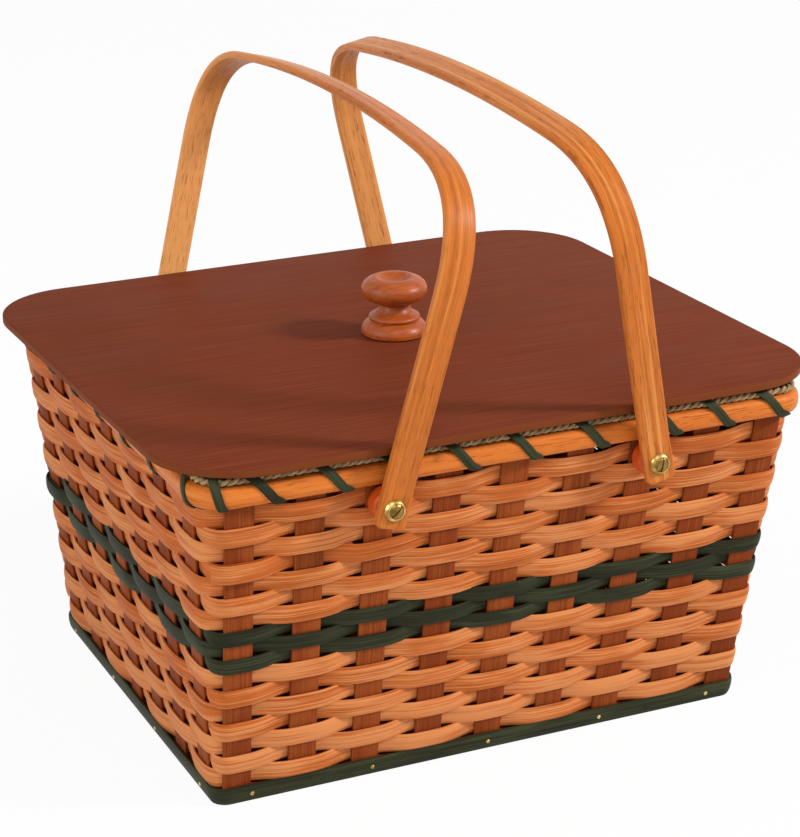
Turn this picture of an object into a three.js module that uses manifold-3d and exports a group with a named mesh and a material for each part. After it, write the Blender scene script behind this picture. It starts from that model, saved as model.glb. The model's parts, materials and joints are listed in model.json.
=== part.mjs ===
// Picnic basket of flat reed woven on a wooden base, with a lashed rim, a loose plywood lid
// with a turned knob, and two bent wooden handles that swing on brass screws.
// Millimetres, +Z up. The origin is the middle of the base, on the surface it stands on.
// +X runs along the long side, and the front wall faces -Y.
import * as THREE from "three";
import { mergeVertices } from "three/addons/utils/BufferGeometryUtils.js";
import Module from "manifold-3d";

const wasm = await Module();
wasm.setup();

// Reed stock
const STAKE_WIDTH = 19; // flat reed of 3/4 inch
const STAKE_THICKNESS = 1.8;
const WEAVER_WIDTH = 11.7; // flat oval reed of 1/2 inch
const GREEN_WIDTH = 9.5; // flat oval reed of 3/8 inch, dyed green
const WEAVER_THICKNESS = 2.2;
const WEAVER_EASE = 1.3; // how far the rounded edges draw in on the outer face
const CREST_HALF = 5; // half of the flat stretch where a weaver lies over a stake
const CORNER_STEP = 1.5; // how far past the last stake a weaver starts to turn a corner
const CORNER_CUT = 0.4; // how far it cuts a corner: 0 bends into it, 1 goes straight across

// Gaps
const FIT_GAP = 0.3; // between pieces that lie against each other
const ROW_GAP = 0.45; // between rows of the weave
const SWING_GAP = 3.7; // between a handle and the lashed rim that it swings past
const LID_GAP = 2.8; // between the lid's edge and the handles

// Wall
const LONG_STAKES = 9;
const SHORT_STAKES = 7;
const PLAIN_ROWS_ABOVE = 7;
const GREEN_ROWS = 3;
const PLAIN_ROWS_BELOW = 7;
const FLOOR_LENGTH = 384.2; // outside of the base band, on the floor
const FLOOR_DEPTH = 303.4;
const MOUTH_LENGTH = 410.6; // outside of the stakes, at the top of the weave
const MOUTH_DEPTH = 370.2;
const FLOOR_MARGIN_LONG = 12.4; // from a wall's corner to the middle of its last stake
const FLOOR_MARGIN_SHORT = 20.5;
const MOUTH_MARGIN_LONG = 21.2;
const MOUTH_MARGIN_SHORT = 30.6;

// Base
const BOARD_THICKNESS = 10;
const BOARD_CORNER = 4;
const STAKE_LET_IN = 0.5; // depth of the stakes' seats in the edge of the board
const STAKE_FOOT = 1.5; // height of a stake's lower end
const BAND_HEIGHT = 12.1;
const BAND_THICKNESS = 2.5;

// Rim
const LASH_SLOT = 4.5; // open strip under the rim that the lashing goes through
const RIM_HEIGHT = 13.8;
const RIM_THICKNESS = 5.5;
const RIM_CORNER = 13; // radius at the middle of the wall
const CORNER_STEPS = 4;
const STAKE_TRIM = 1; // how far below the rim's top the stakes are cut
const FILLER_DIAMETER = 5.6;
const LASH_WIDTH = 7.6; // measured along the rim, on the slant
const LASH_THICKNESS = 0.9;
const LASH_LIFT = 1.7; // extra room for the lashing where it bows over the rim

// Handles
const STRAP_WIDTH = 20.2;
const STRAP_THICKNESS = 5.5;
const STRAP_EASE = 1.2; // eased edges
const STRAP_TAIL = 12; // length below the pivot
const STRAP_HEEL = 15; // upright stretch above the pivot
const HANDLE_RISE = 217.4; // from pivot to the middle of the crown
const CROWN_ARCH = 8.5; // how far the crown bows up between the bends
const CROWN_HALF = 144; // where the crown meets the bends
const SHOULDER_RISE = 132; // where the legs meet the bends
const SHOULDER_SPREAD = 7.5; // how far the legs splay by then
const BEND_PULL = 47; // reach of the bend's curve along leg and crown
const LEFT_LEAN = 14; // degrees inward, as the handles stand
const RIGHT_LEAN = 12;
const PIVOT_STAKE = 2; // stakes between the middle of the long wall and a pivot
const PIVOT_DROP = 7.3; // pivot below the top of the weave

// Pivot hardware
const SPACER_DIAMETER = 22;
const SCREW_DIAMETER = 4.6;
const SCREW_HEAD_DIAMETER = 9.2;
const SCREW_HEAD_RISE = 2.2;
const SCREW_SLOT_WIDTH = 1.3;
const SCREW_SLOT_DEPTH = 1;
const SCREW_PLAY = 0.4; // on the radius of every hole that a screw goes through
const CUP_DIAMETER = 14.2;
const CUP_HEIGHT = 2.4;
const CUP_RIM = 0.8; // thickness of the cup washer's outer edge
const WASHER_DIAMETER = 14;
const WASHER_THICKNESS = 1.2;
const NUT_ACROSS = 9.5;
const NUT_THICKNESS = 3.2;
const SCREW_END = 1.6; // how far the screw stands past its nut

// Lid
const LID_THICKNESS = 5.2;
const LID_OVERHANG = 11.8; // past the lashed rim at each end
const LID_CORNER = 58;
const LID_SHIFT = 0.6; // the loose lid lies this far forward
const LID_TURN = 0.8; // degrees that it lies askew
const CLEAT_WIDTH = 14;
const CLEAT_HEIGHT = 9;
const CLEAT_LENGTH = 270;
const CLEAT_PLAY = 5; // between the cleats and the lashed rim

// Knob
const KNOB_CAP_DIAMETER = 45;
const KNOB_CAP_HEIGHT = 18;
const KNOB_DIMPLE = 2; // depth of the hollow in the cap's top
const KNOB_DIMPLE_DIAMETER = 25;
const KNOB_NECK_DIAMETER = 23;
const KNOB_NECK_HEIGHT = 5.5;
const KNOB_BEAD_DIAMETER = 35;
const KNOB_BEAD_HEIGHT = 6;
const KNOB_FOOT_DIAMETER = 45;
const KNOB_FOOT_HEIGHT = 10;
const KNOB_SHIFT = 2.5; // along the lid, from its middle
const KNOB_SCREW_DIAMETER = 4;
const KNOB_SCREW_DEPTH = 20; // length of screw inside the knob
const KNOB_SCREW_HEAD_DIAMETER = 9;
const KNOB_SCREW_HEAD_HEIGHT = 2.4;

// Finishes
const finish = (color, roughness, metalness = 0) =>
  new THREE.MeshStandardMaterial({ color, roughness, metalness });
const honeyReed = finish(0xc98a4b, 0.5);
const stakeReed = finish(0x8f4f2c, 0.55);
const greenReed = finish(0x26331f, 0.55);
const bentOak = finish(0xc98545, 0.45);
const seagrass = finish(0xa88c5a, 0.85);
const stainedPly = finish(0x7a3b28, 0.45);
const turnedWood = finish(0xb06030, 0.4);
const brass = finish(0xd8b868, 0.28, 1);

const { degToRad, lerp } = THREE.MathUtils;

// Heights that follow from the rows of the weave
const rows = [];
let weaveTop = BAND_HEIGHT + ROW_GAP;
const rowWidths = [
  ...Array(PLAIN_ROWS_BELOW).fill(WEAVER_WIDTH),
  ...Array(GREEN_ROWS).fill(GREEN_WIDTH),
  ...Array(PLAIN_ROWS_ABOVE).fill(WEAVER_WIDTH),
];
for (const width of rowWidths) {
  rows.unshift({ low: weaveTop, high: weaveTop + width });
  weaveTop += width + ROW_GAP;
}
const rimLow = weaveTop + LASH_SLOT;
const rimHigh = rimLow + RIM_HEIGHT;
const pivotHeight = weaveTop - PIVOT_DROP;

// The wall is described by the middle of the stakes, at any height
const stakeHalf = STAKE_THICKNESS / 2;
const bandSeat = stakeHalf + FIT_GAP + BAND_THICKNESS;
function wall(z) {
  const rise = z / weaveTop;
  const length = lerp(FLOOR_LENGTH / 2 - bandSeat, MOUTH_LENGTH / 2 - stakeHalf, rise);
  const depth = lerp(FLOOR_DEPTH / 2 - bandSeat, MOUTH_DEPTH / 2 - stakeHalf, rise);
  const longReach = length - lerp(FLOOR_MARGIN_LONG, MOUTH_MARGIN_LONG, rise);
  const shortReach = depth - lerp(FLOOR_MARGIN_SHORT, MOUTH_MARGIN_SHORT, rise);
  return {
    length,
    depth,
    longPitch: (2 * longReach) / (LONG_STAKES - 1),
    shortPitch: (2 * shortReach) / (SHORT_STAKES - 1),
  };
}

// Four sides, counterclockwise from the front: which way each faces and how many stakes it has
const sides = [
  { out: [0, -1], along: [1, 0], count: LONG_STAKES, long: true },
  { out: [1, 0], along: [0, 1], count: SHORT_STAKES, long: false },
  { out: [0, 1], along: [-1, 0], count: LONG_STAKES, long: true },
  { out: [-1, 0], along: [0, -1], count: SHORT_STAKES, long: false },
];
const stakes = sides.flatMap((side) =>
  Array.from({ length: side.count }, (_, place) => ({ side, step: place - (side.count - 1) / 2 })),
);

// A point of a wall's plan: some way along from a stake's middle, and some way out of the wall
function wallPoint(stake, z, along, out) {
  const { length, depth, longPitch, shortPitch } = wall(z);
  const { side, step } = stake;
  const run = step * (side.long ? longPitch : shortPitch) + along;
  const reach = (side.long ? depth : length) + out;
  return new THREE.Vector2(
    side.along[0] * run + side.out[0] * reach,
    side.along[1] * run + side.out[1] * reach,
  );
}
function wallCorner(stake, z) {
  const { length, depth } = wall(z);
  const { out, along } = stake.side;
  return new THREE.Vector2((out[0] + along[0]) * length, (out[1] + along[1]) * depth);
}

// Mesh helpers. A loop is a closed row of points, and loops are skinned one to the next.
function solidGeometry(points, triangles) {
  let volume = 0;
  for (const [a, b, c] of triangles) {
    volume += points[a].dot(new THREE.Vector3().crossVectors(points[b], points[c]));
  }
  const faces = volume < 0 ? triangles.map(([a, b, c]) => [a, c, b]) : triangles;
  const geometry = new THREE.BufferGeometry().setFromPoints(points);
  geometry.setIndex(faces.flat());
  geometry.computeVertexNormals();
  return geometry;
}
function skin(loops, last) {
  const size = loops[0].length;
  const triangles = [];
  for (let row = 0; row < last; row += 1) {
    const next = (row + 1) % loops.length;
    for (let i = 0; i < size; i += 1) {
      const j = (i + 1) % size;
      const [a, b] = [row * size + i, row * size + j];
      const [c, d] = [next * size + i, next * size + j];
      triangles.push([a, b, d], [a, d, c]);
    }
  }
  return triangles;
}
function ringSolid(loops) {
  return solidGeometry(loops.flat(), skin(loops, loops.length));
}
function cappedSolid(loops) {
  const points = loops.flat();
  const triangles = skin(loops, loops.length - 1);
  const size = loops[0].length;
  for (const [start, turn] of [[0, -1], [points.length - size, 1]]) {
    for (let i = 1; i < size - 1; i += 1) {
      const [b, c] = turn > 0 ? [i, i + 1] : [i + 1, i];
      triangles.push([start, start + b, start + c]);
    }
  }
  return solidGeometry(points, triangles);
}

// Boolean joins and cuts
function toManifold(geometry) {
  const bare = geometry.index ? geometry.clone() : geometry;
  bare.deleteAttribute("normal");
  bare.deleteAttribute("uv");
  const merged = mergeVertices(bare, 1e-4);
  return new wasm.Manifold(
    new wasm.Mesh({
      numProp: 3,
      vertProperties: new Float32Array(merged.attributes.position.array),
      triVerts: new Uint32Array(merged.index.array),
    }),
  );
}
function toGeometry(manifold) {
  const mesh = manifold.getMesh();
  const geometry = new THREE.BufferGeometry();
  geometry.setAttribute("position", new THREE.BufferAttribute(mesh.vertProperties, mesh.numProp));
  geometry.setIndex(new THREE.BufferAttribute(mesh.triVerts, 1));
  geometry.computeVertexNormals();
  return geometry;
}
function cut(geometry, ...tools) {
  let solid = toManifold(geometry);
  for (const tool of tools) {
    solid = solid.subtract(toManifold(tool));
  }
  return toGeometry(solid);
}

// A round profile of [radius, height] points turned about its axis, which is then laid along Y
// so that height runs out of the front or the back wall
function turned(profile, segments) {
  return new THREE.LatheGeometry(profile.map(([r, h]) => new THREE.Vector2(r, h)), segments);
}
function rod(radius, from, to, segments) {
  return turned([[0, from], [radius, from], [radius, to], [0, to]], segments);
}
function collar(inner, outer, from, to, segments) {
  const ring = [[inner, from], [outer, from], [outer, to], [inner, to], [inner, from]];
  return turned(ring, segments);
}

const basket = new THREE.Group();
function addMesh(name, geometry, material, parent = basket) {
  const mesh = new THREE.Mesh(geometry, material);
  mesh.name = name;
  parent.add(mesh);
  return mesh;
}

// Pivots: a screw goes through a stake on each side of the front and of the back wall
const pivotReach = wall(pivotHeight).longPitch * PIVOT_STAKE;
const screwHole = SCREW_DIAMETER / 2 + SCREW_PLAY;
const pivots = [
  { name: "front_left", x: -pivotReach, face: -1 },
  { name: "front_right", x: pivotReach, face: -1 },
  { name: "back_right", x: pivotReach, face: 1 },
  { name: "back_left", x: -pivotReach, face: 1 },
];
// Turns a solid made about +Y to stand at a pivot and face out of its wall
function atPivot(geometry, pivot) {
  if (pivot.face < 0) {
    geometry.rotateZ(Math.PI);
  }
  return geometry.translate(pivot.x, 0, pivotHeight);
}
const HOLE_SEGMENTS = 12;
const outermost = MOUTH_DEPTH;
function pivotDrill(pivot) {
  return atPivot(rod(screwHole, 0, outermost, HOLE_SEGMENTS), pivot);
}

// Base board with the stakes let into its edge
function roundedLoop(z, out, corner) {
  const { length, depth } = wall(z);
  const radius = corner + out;
  const points = [];
  for (let quarter = 0; quarter < 4; quarter += 1) {
    const signX = quarter === 0 || quarter === 1 ? 1 : -1;
    const signY = quarter === 1 || quarter === 2 ? 1 : -1;
    const middleX = signX * (length - corner);
    const middleY = signY * (depth - corner);
    for (let step = 0; step <= CORNER_STEPS; step += 1) {
      const angle = ((quarter - 1 + step / CORNER_STEPS) * Math.PI) / 2;
      const x = middleX + radius * Math.cos(angle);
      points.push(new THREE.Vector3(x, middleY + radius * Math.sin(angle), z));
    }
  }
  return points;
}
function stakeSolid(stake) {
  const loops = [STAKE_FOOT, rimHigh - STAKE_TRIM].map((z) => {
    const halfWidth = STAKE_WIDTH / 2;
    const corners = [[-1, -1], [1, -1], [1, 1], [-1, 1]];
    return corners.map(([along, out]) => {
      const flat = wallPoint(stake, z, along * halfWidth, out * stakeHalf);
      return new THREE.Vector3(flat.x, flat.y, z);
    });
  });
  return cappedSolid(loops);
}
const boardEdge = STAKE_LET_IN - stakeHalf;
let baseSolid = toManifold(
  cappedSolid([0, BOARD_THICKNESS].map((z) => roundedLoop(z, boardEdge, BOARD_CORNER))),
);
for (const stake of stakes) {
  baseSolid = baseSolid.add(toManifold(stakeSolid(stake)));
}
addMesh("base_and_stakes", cut(toGeometry(baseSolid), ...pivots.map(pivotDrill)), stakeReed);

// Hoops follow the wall all round. Each section point is [distance out of the wall, height].
function hoop(section, corner) {
  return ringSolid(section.map(([out, z]) => roundedLoop(z, out, corner)));
}
const bandInner = stakeHalf + FIT_GAP;
const bandOuter = bandInner + BAND_THICKNESS;
const bandEase = BAND_THICKNESS / 3;
const bandSection = [
  [bandInner, 0],
  [bandOuter, 0],
  [bandOuter, BAND_HEIGHT - bandEase],
  [bandOuter - bandEase, BAND_HEIGHT],
  [bandInner, BAND_HEIGHT],
];
addMesh("base_band", hoop(bandSection, BOARD_CORNER), greenReed);

// Weavers go over one stake and under the next, and every row is the reverse of the one below.
// On a crest the reed lies flat over the stake. Behind a stake it only turns back.
const crestClear = stakeHalf + FIT_GAP + (WEAVER_THICKNESS / 2) * 1.03;
const overhang = STAKE_WIDTH / 2 - CREST_HALF;
function weaverRise(pitch) {
  const run = pitch - CREST_HALF;
  const lap = STAKE_WIDTH / 2;
  // Solves for crest and trough heights that both clear the edges of the stakes
  const crest = (crestClear * (run - lap + overhang)) / (run - lap - overhang);
  const trough = (crestClear * run + crest * lap) / (run - lap);
  return { crest, trough };
}
function weaverPlan(row, z) {
  const { longPitch, shortPitch } = wall(z);
  const plan = [];
  stakes.forEach((stake, index) => {
    const { crest, trough } = weaverRise(stake.side.long ? longPitch : shortPitch);
    const outside = (row + index) % 2 === 0;
    if (outside) {
      plan.push(wallPoint(stake, z, -CREST_HALF, crest));
      plan.push(wallPoint(stake, z, CREST_HALF, crest));
    } else {
      plan.push(wallPoint(stake, z, 0, -trough));
    }
    const next = stakes[(index + 1) % stakes.length];
    if (next.side !== stake.side) {
      const reach = STAKE_WIDTH / 2 + CORNER_STEP;
      const leave = wallPoint(stake, z, reach, outside ? crestClear : -crestClear);
      const meet = wallPoint(next, z, -reach, outside ? -crestClear : crestClear);
      const across = leave.clone().lerp(meet, 0.5);
      const turn = wallCorner(stake, z).lerp(across, CORNER_CUT);
      const bend = new THREE.QuadraticBezierCurve(leave, turn, meet);
      plan.push(...bend.getPoints(2));
    }
  });
  return plan;
}
// Moves a closed plan outwards by a distance, square to its line
function offsetPlan(plan, distance) {
  const size = plan.length;
  return plan.map((point, i) => {
    const before = point.clone().sub(plan[(i + size - 1) % size]).normalize();
    const after = plan[(i + 1) % size].clone().sub(point).normalize();
    const outBefore = new THREE.Vector2(before.y, -before.x);
    const outAfter = new THREE.Vector2(after.y, -after.x);
    const out = outBefore.clone().add(outAfter).normalize();
    return point.clone().addScaledVector(out, distance / out.dot(outAfter));
  });
}
function weaverSolid(row, { low, high }) {
  const half = WEAVER_THICKNESS / 2;
  const section = [
    [-half, low],
    [half, low + WEAVER_EASE],
    [half, high - WEAVER_EASE],
    [-half, high],
  ];
  const rails = section.map(([out, z]) =>
    offsetPlan(weaverPlan(row, z), out).map((flat) => new THREE.Vector3(flat.x, flat.y, z)),
  );
  return ringSolid(rails);
}
rows.forEach((row, index) => {
  const number = index + 1;
  const green = index >= PLAIN_ROWS_ABOVE && index < PLAIN_ROWS_ABOVE + GREEN_ROWS;
  let solid = weaverSolid(number, row);
  if (row.low < pivotHeight + screwHole && row.high > pivotHeight - screwHole) {
    solid = cut(solid, ...pivots.map(pivotDrill));
  }
  const name = `weaver_${String(number).padStart(2, "0")}`;
  addMesh(name, solid, green ? greenReed : honeyReed);
});

// Rim: two half-oval hoops clamp the stakes, and a filler cord lies in the groove on top
const rimSeat = stakeHalf + FIT_GAP;
const halfOval = [
  [0, 0],
  [0.7, 0.1],
  [1, 0.35],
  [1, 0.65],
  [0.7, 0.9],
  [0, 1],
];
function rimSection(sign) {
  return halfOval.map(([out, up]) => [
    sign * (rimSeat + out * RIM_THICKNESS),
    rimLow + up * RIM_HEIGHT,
  ]);
}
addMesh("rim_outer", hoop(rimSection(1), RIM_CORNER), bentOak);
addMesh("rim_inner", hoop(rimSection(-1), RIM_CORNER), bentOak);

const fillerRadius = FILLER_DIAMETER / 2;
const fillerHeight = rimHigh + Math.sqrt((fillerRadius + FIT_GAP) ** 2 - rimSeat ** 2);
const fillerTop = fillerHeight + fillerRadius;
const FILLER_SIDES = 6;
const fillerSection = Array.from({ length: FILLER_SIDES }, (_, i) => {
  const angle = ((i + 0.5) / FILLER_SIDES) * 2 * Math.PI;
  return [fillerRadius * Math.sin(angle), fillerHeight + fillerRadius * Math.cos(angle)];
});
addMesh("rim_filler", hoop(fillerSection, RIM_CORNER), seagrass);

// Lashing: one flat strip that winds round the rim, once for every gap between stakes.
// It comes down the outside, goes in through the slot between two stakes and up the inside.
const lashStand = FIT_GAP + LASH_THICKNESS / 2;
const lashTop = fillerTop + lashStand;
const lashOut = rimSeat + RIM_THICKNESS + lashStand + LASH_LIFT;
const lashedRim = lashOut + LASH_THICKNESS / 2;
const rimMiddle = (rimLow + rimHigh) / 2;
const outerWrap = [
  [fillerRadius * 0.72, lashTop],
  [rimSeat + RIM_THICKNESS * 0.85 + lashStand, rimHigh + lashStand],
  [lashOut, rimMiddle],
  [lashOut, rimLow - lashStand],
];
const innerWrap = outerWrap.map(([out, z]) => [-out, z]).reverse();
const wrapSection = [...outerWrap, ...innerWrap].map(([out, z]) => new THREE.Vector2(out, z));
const wrapGirth = [];
wrapSection.forEach((point, i) => {
  const last = wrapSection[(i + wrapSection.length - 1) % wrapSection.length];
  // The strip crosses over the top half way along the first stretch
  const stretch = point.distanceTo(last);
  wrapGirth.push(i === 0 ? stretch / 2 : wrapGirth[i - 1] + stretch);
});
const girth = wrapGirth.at(-1) + wrapGirth[0];

// A point of the rim at a place counted in stakes, some way along and out from there
function rimPlace(place, along, out, z) {
  const index = Math.floor(place) % stakes.length;
  const share = place - Math.floor(place);
  const stake = stakes[index];
  const next = stakes[(index + 1) % stakes.length];
  const { longPitch, shortPitch, length, depth } = wall(z);
  if (next.side === stake.side) {
    const pitch = stake.side.long ? longPitch : shortPitch;
    return wallPoint(stake, z, share * pitch + along, out);
  }
  const half = stake.side.long ? length : depth;
  const across = stake.side.long ? depth : length;
  const straightBefore = half - Math.abs(stake.step) * (stake.side.long ? longPitch : shortPitch);
  const straightAfter = across - Math.abs(next.step) * (next.side.long ? longPitch : shortPitch);
  const before = straightBefore - RIM_CORNER;
  const arc = (RIM_CORNER * Math.PI) / 2;
  const walk = share * (before + arc + straightAfter - RIM_CORNER) + along;
  if (walk < before) {
    return wallPoint(stake, z, walk, out);
  }
  if (walk > before + arc) {
    return wallPoint(next, z, walk - before - arc - (straightAfter - RIM_CORNER), out);
  }
  const angle = (walk - before) / RIM_CORNER;
  const { along: ahead, out: outward } = stake.side;
  const forward = before + (RIM_CORNER + out) * Math.sin(angle);
  const outside = (RIM_CORNER + out) * Math.cos(angle) - RIM_CORNER;
  return wallPoint(stake, z, 0, 0)
    .add(new THREE.Vector2(...ahead).multiplyScalar(forward))
    .add(new THREE.Vector2(...outward).multiplyScalar(outside));
}
function lashingSolid() {
  const wrapNormal = offsetPlan(wrapSection, 1).map((point, i) => point.sub(wrapSection[i]));
  const half = LASH_THICKNESS / 2;
  const loops = [];
  const middle = [];
  for (let wrap = 0; wrap < stakes.length; wrap += 1) {
    wrapSection.forEach((point, i) => {
      const place = wrap + wrapGirth[i] / girth;
      const corner = (width, thick) => {
        const lifted = point.clone().addScaledVector(wrapNormal[i], -thick * half);
        const flat = rimPlace(place, (width * LASH_WIDTH) / 2, lifted.x, lifted.y);
        return new THREE.Vector3(flat.x, flat.y, lifted.y);
      };
      loops.push([corner(-1, -1), corner(1, -1), corner(1, 1), corner(-1, 1)]);
      middle.push(corner(0, 0));
    });
  }
  // Least gap between neighbouring turns, measured between the middles of the strip
  const turn = wrapSection.length;
  let least = Infinity;
  middle.forEach((point, i) => {
    for (let j = i + turn - 2; j < Math.min(i + turn + 3, middle.length); j += 1) {
      least = Math.min(least, point.distanceTo(middle[j]));
    }
  });
  console.log(`rim lashing: least gap to itself ${(least - LASH_WIDTH).toFixed(2)} mm`);
  return ringSolid(loops);
}
addMesh("rim_lashing", lashingSolid(), greenReed);

// Handles: a strap whose middle line runs up a leg, round a bend and over the crown.
// The line is drawn in [distance from the middle of the basket, height above the pivot].
const strapInner = wall(rimMiddle).depth + lashedRim + SWING_GAP;
const strapMiddle = strapInner + STRAP_THICKNESS / 2;
const strapOuter = strapInner + STRAP_THICKNESS;
function strapLine() {
  const at = (y, rise) => new THREE.Vector2(y, rise);
  const shoulder = at(strapMiddle + SHOULDER_SPREAD, SHOULDER_RISE);
  const heel = at(strapMiddle, STRAP_HEEL);
  const legWay = shoulder.clone().sub(heel).normalize();
  const crownEnd = at(CROWN_HALF, HANDLE_RISE - CROWN_ARCH);
  const crownPeak = at(0, HANDLE_RISE + CROWN_ARCH);
  const crownWay = crownEnd.clone().sub(crownPeak).normalize();
  const bend = new THREE.CubicBezierCurve(
    shoulder,
    shoulder.clone().addScaledVector(legWay, BEND_PULL),
    crownEnd.clone().addScaledVector(crownWay, BEND_PULL),
    crownEnd,
  );
  const farEnd = at(-CROWN_HALF, crownEnd.y);
  const crown = new THREE.QuadraticBezierCurve(crownEnd, crownPeak, farEnd);
  const leg = [at(strapMiddle, -STRAP_TAIL), at(strapMiddle, STRAP_EASE * 2 - STRAP_TAIL), heel];
  const half = [...leg, ...bend.getPoints(7)];
  const farHalf = half.map((point) => at(-point.x, point.y)).reverse();
  return [...half, ...crown.getPoints(6).slice(1, -1), ...farHalf];
}
function strapSolid() {
  const line = strapLine();
  const half = STRAP_THICKNESS / 2;
  const loops = line.map((point, i) => {
    const before = line[Math.max(i - 1, 0)];
    const after = line[Math.min(i + 1, line.length - 1)];
    const way = after.clone().sub(before).normalize();
    const out = new THREE.Vector2(way.y, -way.x);
    const atEnd = i === 0 || i === line.length - 1;
    const halfWidth = STRAP_WIDTH / 2 - (atEnd ? STRAP_EASE * 2 : 0);
    const section = [
      [-halfWidth, 0],
      [-halfWidth + STRAP_EASE, -half],
      [halfWidth - STRAP_EASE, -half],
      [halfWidth, 0],
      [halfWidth - STRAP_EASE, half],
      [-halfWidth + STRAP_EASE, half],
    ];
    return section.map(([x, thick]) => {
      const flat = point.clone().addScaledVector(out, thick);
      return new THREE.Vector3(x, flat.x, flat.y);
    });
  });
  const drill = rod(screwHole, -outermost, outermost, HOLE_SEGMENTS);
  return cut(cappedSolid(loops), drill);
}
function addHandle(name, x, lean) {
  const hinge = new THREE.Group();
  hinge.position.set(x, 0, pivotHeight);
  hinge.rotation.y = degToRad(lean);
  basket.add(hinge);
  addMesh(name, strapSolid(), bentOak, hinge);
}
addHandle("handle_left", -pivotReach, LEFT_LEAN);
addHandle("handle_right", pivotReach, -RIGHT_LEAN);

// Pivot hardware, from the outside in: cup washer, strap, spacer, wall, washer and nut.
// The spacer lies on the highest reed behind it, and the washer on the row inside the stake.
const ROUND_SEGMENTS = 16;
const pivotRow = rows.findIndex((row) => row.low < pivotHeight);
const rowBelow = rows[pivotRow + 1];
const outerReed = weaverRise(wall(rowBelow.high).longPitch).crest + WEAVER_THICKNESS / 2;
const spacerFrom = wall(rowBelow.high).depth + outerReed + FIT_GAP;
const spacerTo = strapInner - FIT_GAP;
const innerReed = weaverRise(wall(rows[pivotRow].low).longPitch).trough + WEAVER_THICKNESS / 2;
const washerTo = wall(rows[pivotRow].low).depth - innerReed - FIT_GAP;
const nutTo = washerTo - WASHER_THICKNESS - FIT_GAP;
const screwFrom = nutTo - NUT_THICKNESS - SCREW_END;
const cupFrom = strapOuter + FIT_GAP;
const headFrom = cupFrom + CUP_HEIGHT / 2;
const screwRadius = SCREW_DIAMETER / 2;
const headRadius = SCREW_HEAD_DIAMETER / 2;
const cupFloor = headFrom - FIT_GAP;

function spacerSolid() {
  return collar(screwHole, SPACER_DIAMETER / 2, spacerFrom, spacerTo, ROUND_SEGMENTS);
}
function cupSolid() {
  const profile = [
    [screwHole, cupFrom],
    [CUP_DIAMETER / 2, cupFrom],
    [CUP_DIAMETER / 2, cupFrom + CUP_RIM],
    [headRadius + FIT_GAP, cupFrom + CUP_HEIGHT],
    [headRadius + FIT_GAP, cupFloor],
    [screwHole, cupFloor],
    [screwHole, cupFrom],
  ];
  return turned(profile, ROUND_SEGMENTS);
}
function screwSolid() {
  const crown = headFrom + SCREW_HEAD_RISE;
  const profile = [
    [0, screwFrom],
    [screwRadius, screwFrom],
    [screwRadius, headFrom],
    [headRadius, headFrom],
    [headRadius, headFrom + SCREW_HEAD_RISE / 2],
    [headRadius / 2, crown],
    [0, crown],
  ];
  const slot = new THREE.BoxGeometry(SCREW_HEAD_DIAMETER * 2, SCREW_SLOT_DEPTH * 2, SCREW_SLOT_WIDTH);
  slot.translate(0, crown, 0);
  return cut(turned(profile, HOLE_SEGMENTS), slot);
}
function washerSolid() {
  const from = washerTo - WASHER_THICKNESS;
  return collar(screwHole, WASHER_DIAMETER / 2, from, washerTo, HOLE_SEGMENTS);
}
function nutSolid() {
  const outline = new THREE.Shape();
  const radius = NUT_ACROSS / Math.sqrt(3);
  for (let i = 0; i < 6; i += 1) {
    const angle = (i * Math.PI) / 3;
    const corner = [radius * Math.cos(angle), radius * Math.sin(angle)];
    outline[i === 0 ? "moveTo" : "lineTo"](...corner);
  }
  outline.closePath();
  const bore = new THREE.Path();
  bore.absarc(0, 0, screwHole, 0, 2 * Math.PI, true);
  outline.holes.push(bore);
  const settings = { depth: NUT_THICKNESS, bevelEnabled: false, curveSegments: 5 };
  const nut = new THREE.ExtrudeGeometry(outline, settings);
  return nut.rotateX(Math.PI / 2).translate(0, nutTo, 0);
}
for (const pivot of pivots) {
  addMesh(`pivot_spacer_${pivot.name}`, atPivot(spacerSolid(), pivot), turnedWood);
  addMesh(`cup_washer_${pivot.name}`, atPivot(cupSolid(), pivot), brass);
  addMesh(`pivot_screw_${pivot.name}`, atPivot(screwSolid(), pivot), brass);
  addMesh(`pivot_washer_${pivot.name}`, atPivot(washerSolid(), pivot), brass);
  addMesh(`pivot_nut_${pivot.name}`, atPivot(nutSolid(), pivot), brass);
}

// Lid: it lies loose on the lashing, a little askew, and its cleats drop inside the rim
const lidUnder = lashTop + LASH_THICKNESS / 2 + FIT_GAP;
const lidTop = lidUnder + LID_THICKNESS;
const lidTurn = degToRad(LID_TURN);
const lidHalfLength = wall(rimHigh).length + lashedRim + LID_OVERHANG;
const legSplay = SHOULDER_SPREAD / (SHOULDER_RISE - STRAP_HEEL);
const legInner = strapInner + legSplay * (lidUnder - pivotHeight - STRAP_HEEL);
const skew = (pivotReach + STRAP_WIDTH) * Math.sin(lidTurn);
const lidHalfDepth = legInner - LID_GAP - LID_SHIFT - skew;

const lid = new THREE.Group();
lid.position.set(0, -LID_SHIFT, lidUnder);
lid.rotation.z = lidTurn;
basket.add(lid);

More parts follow.
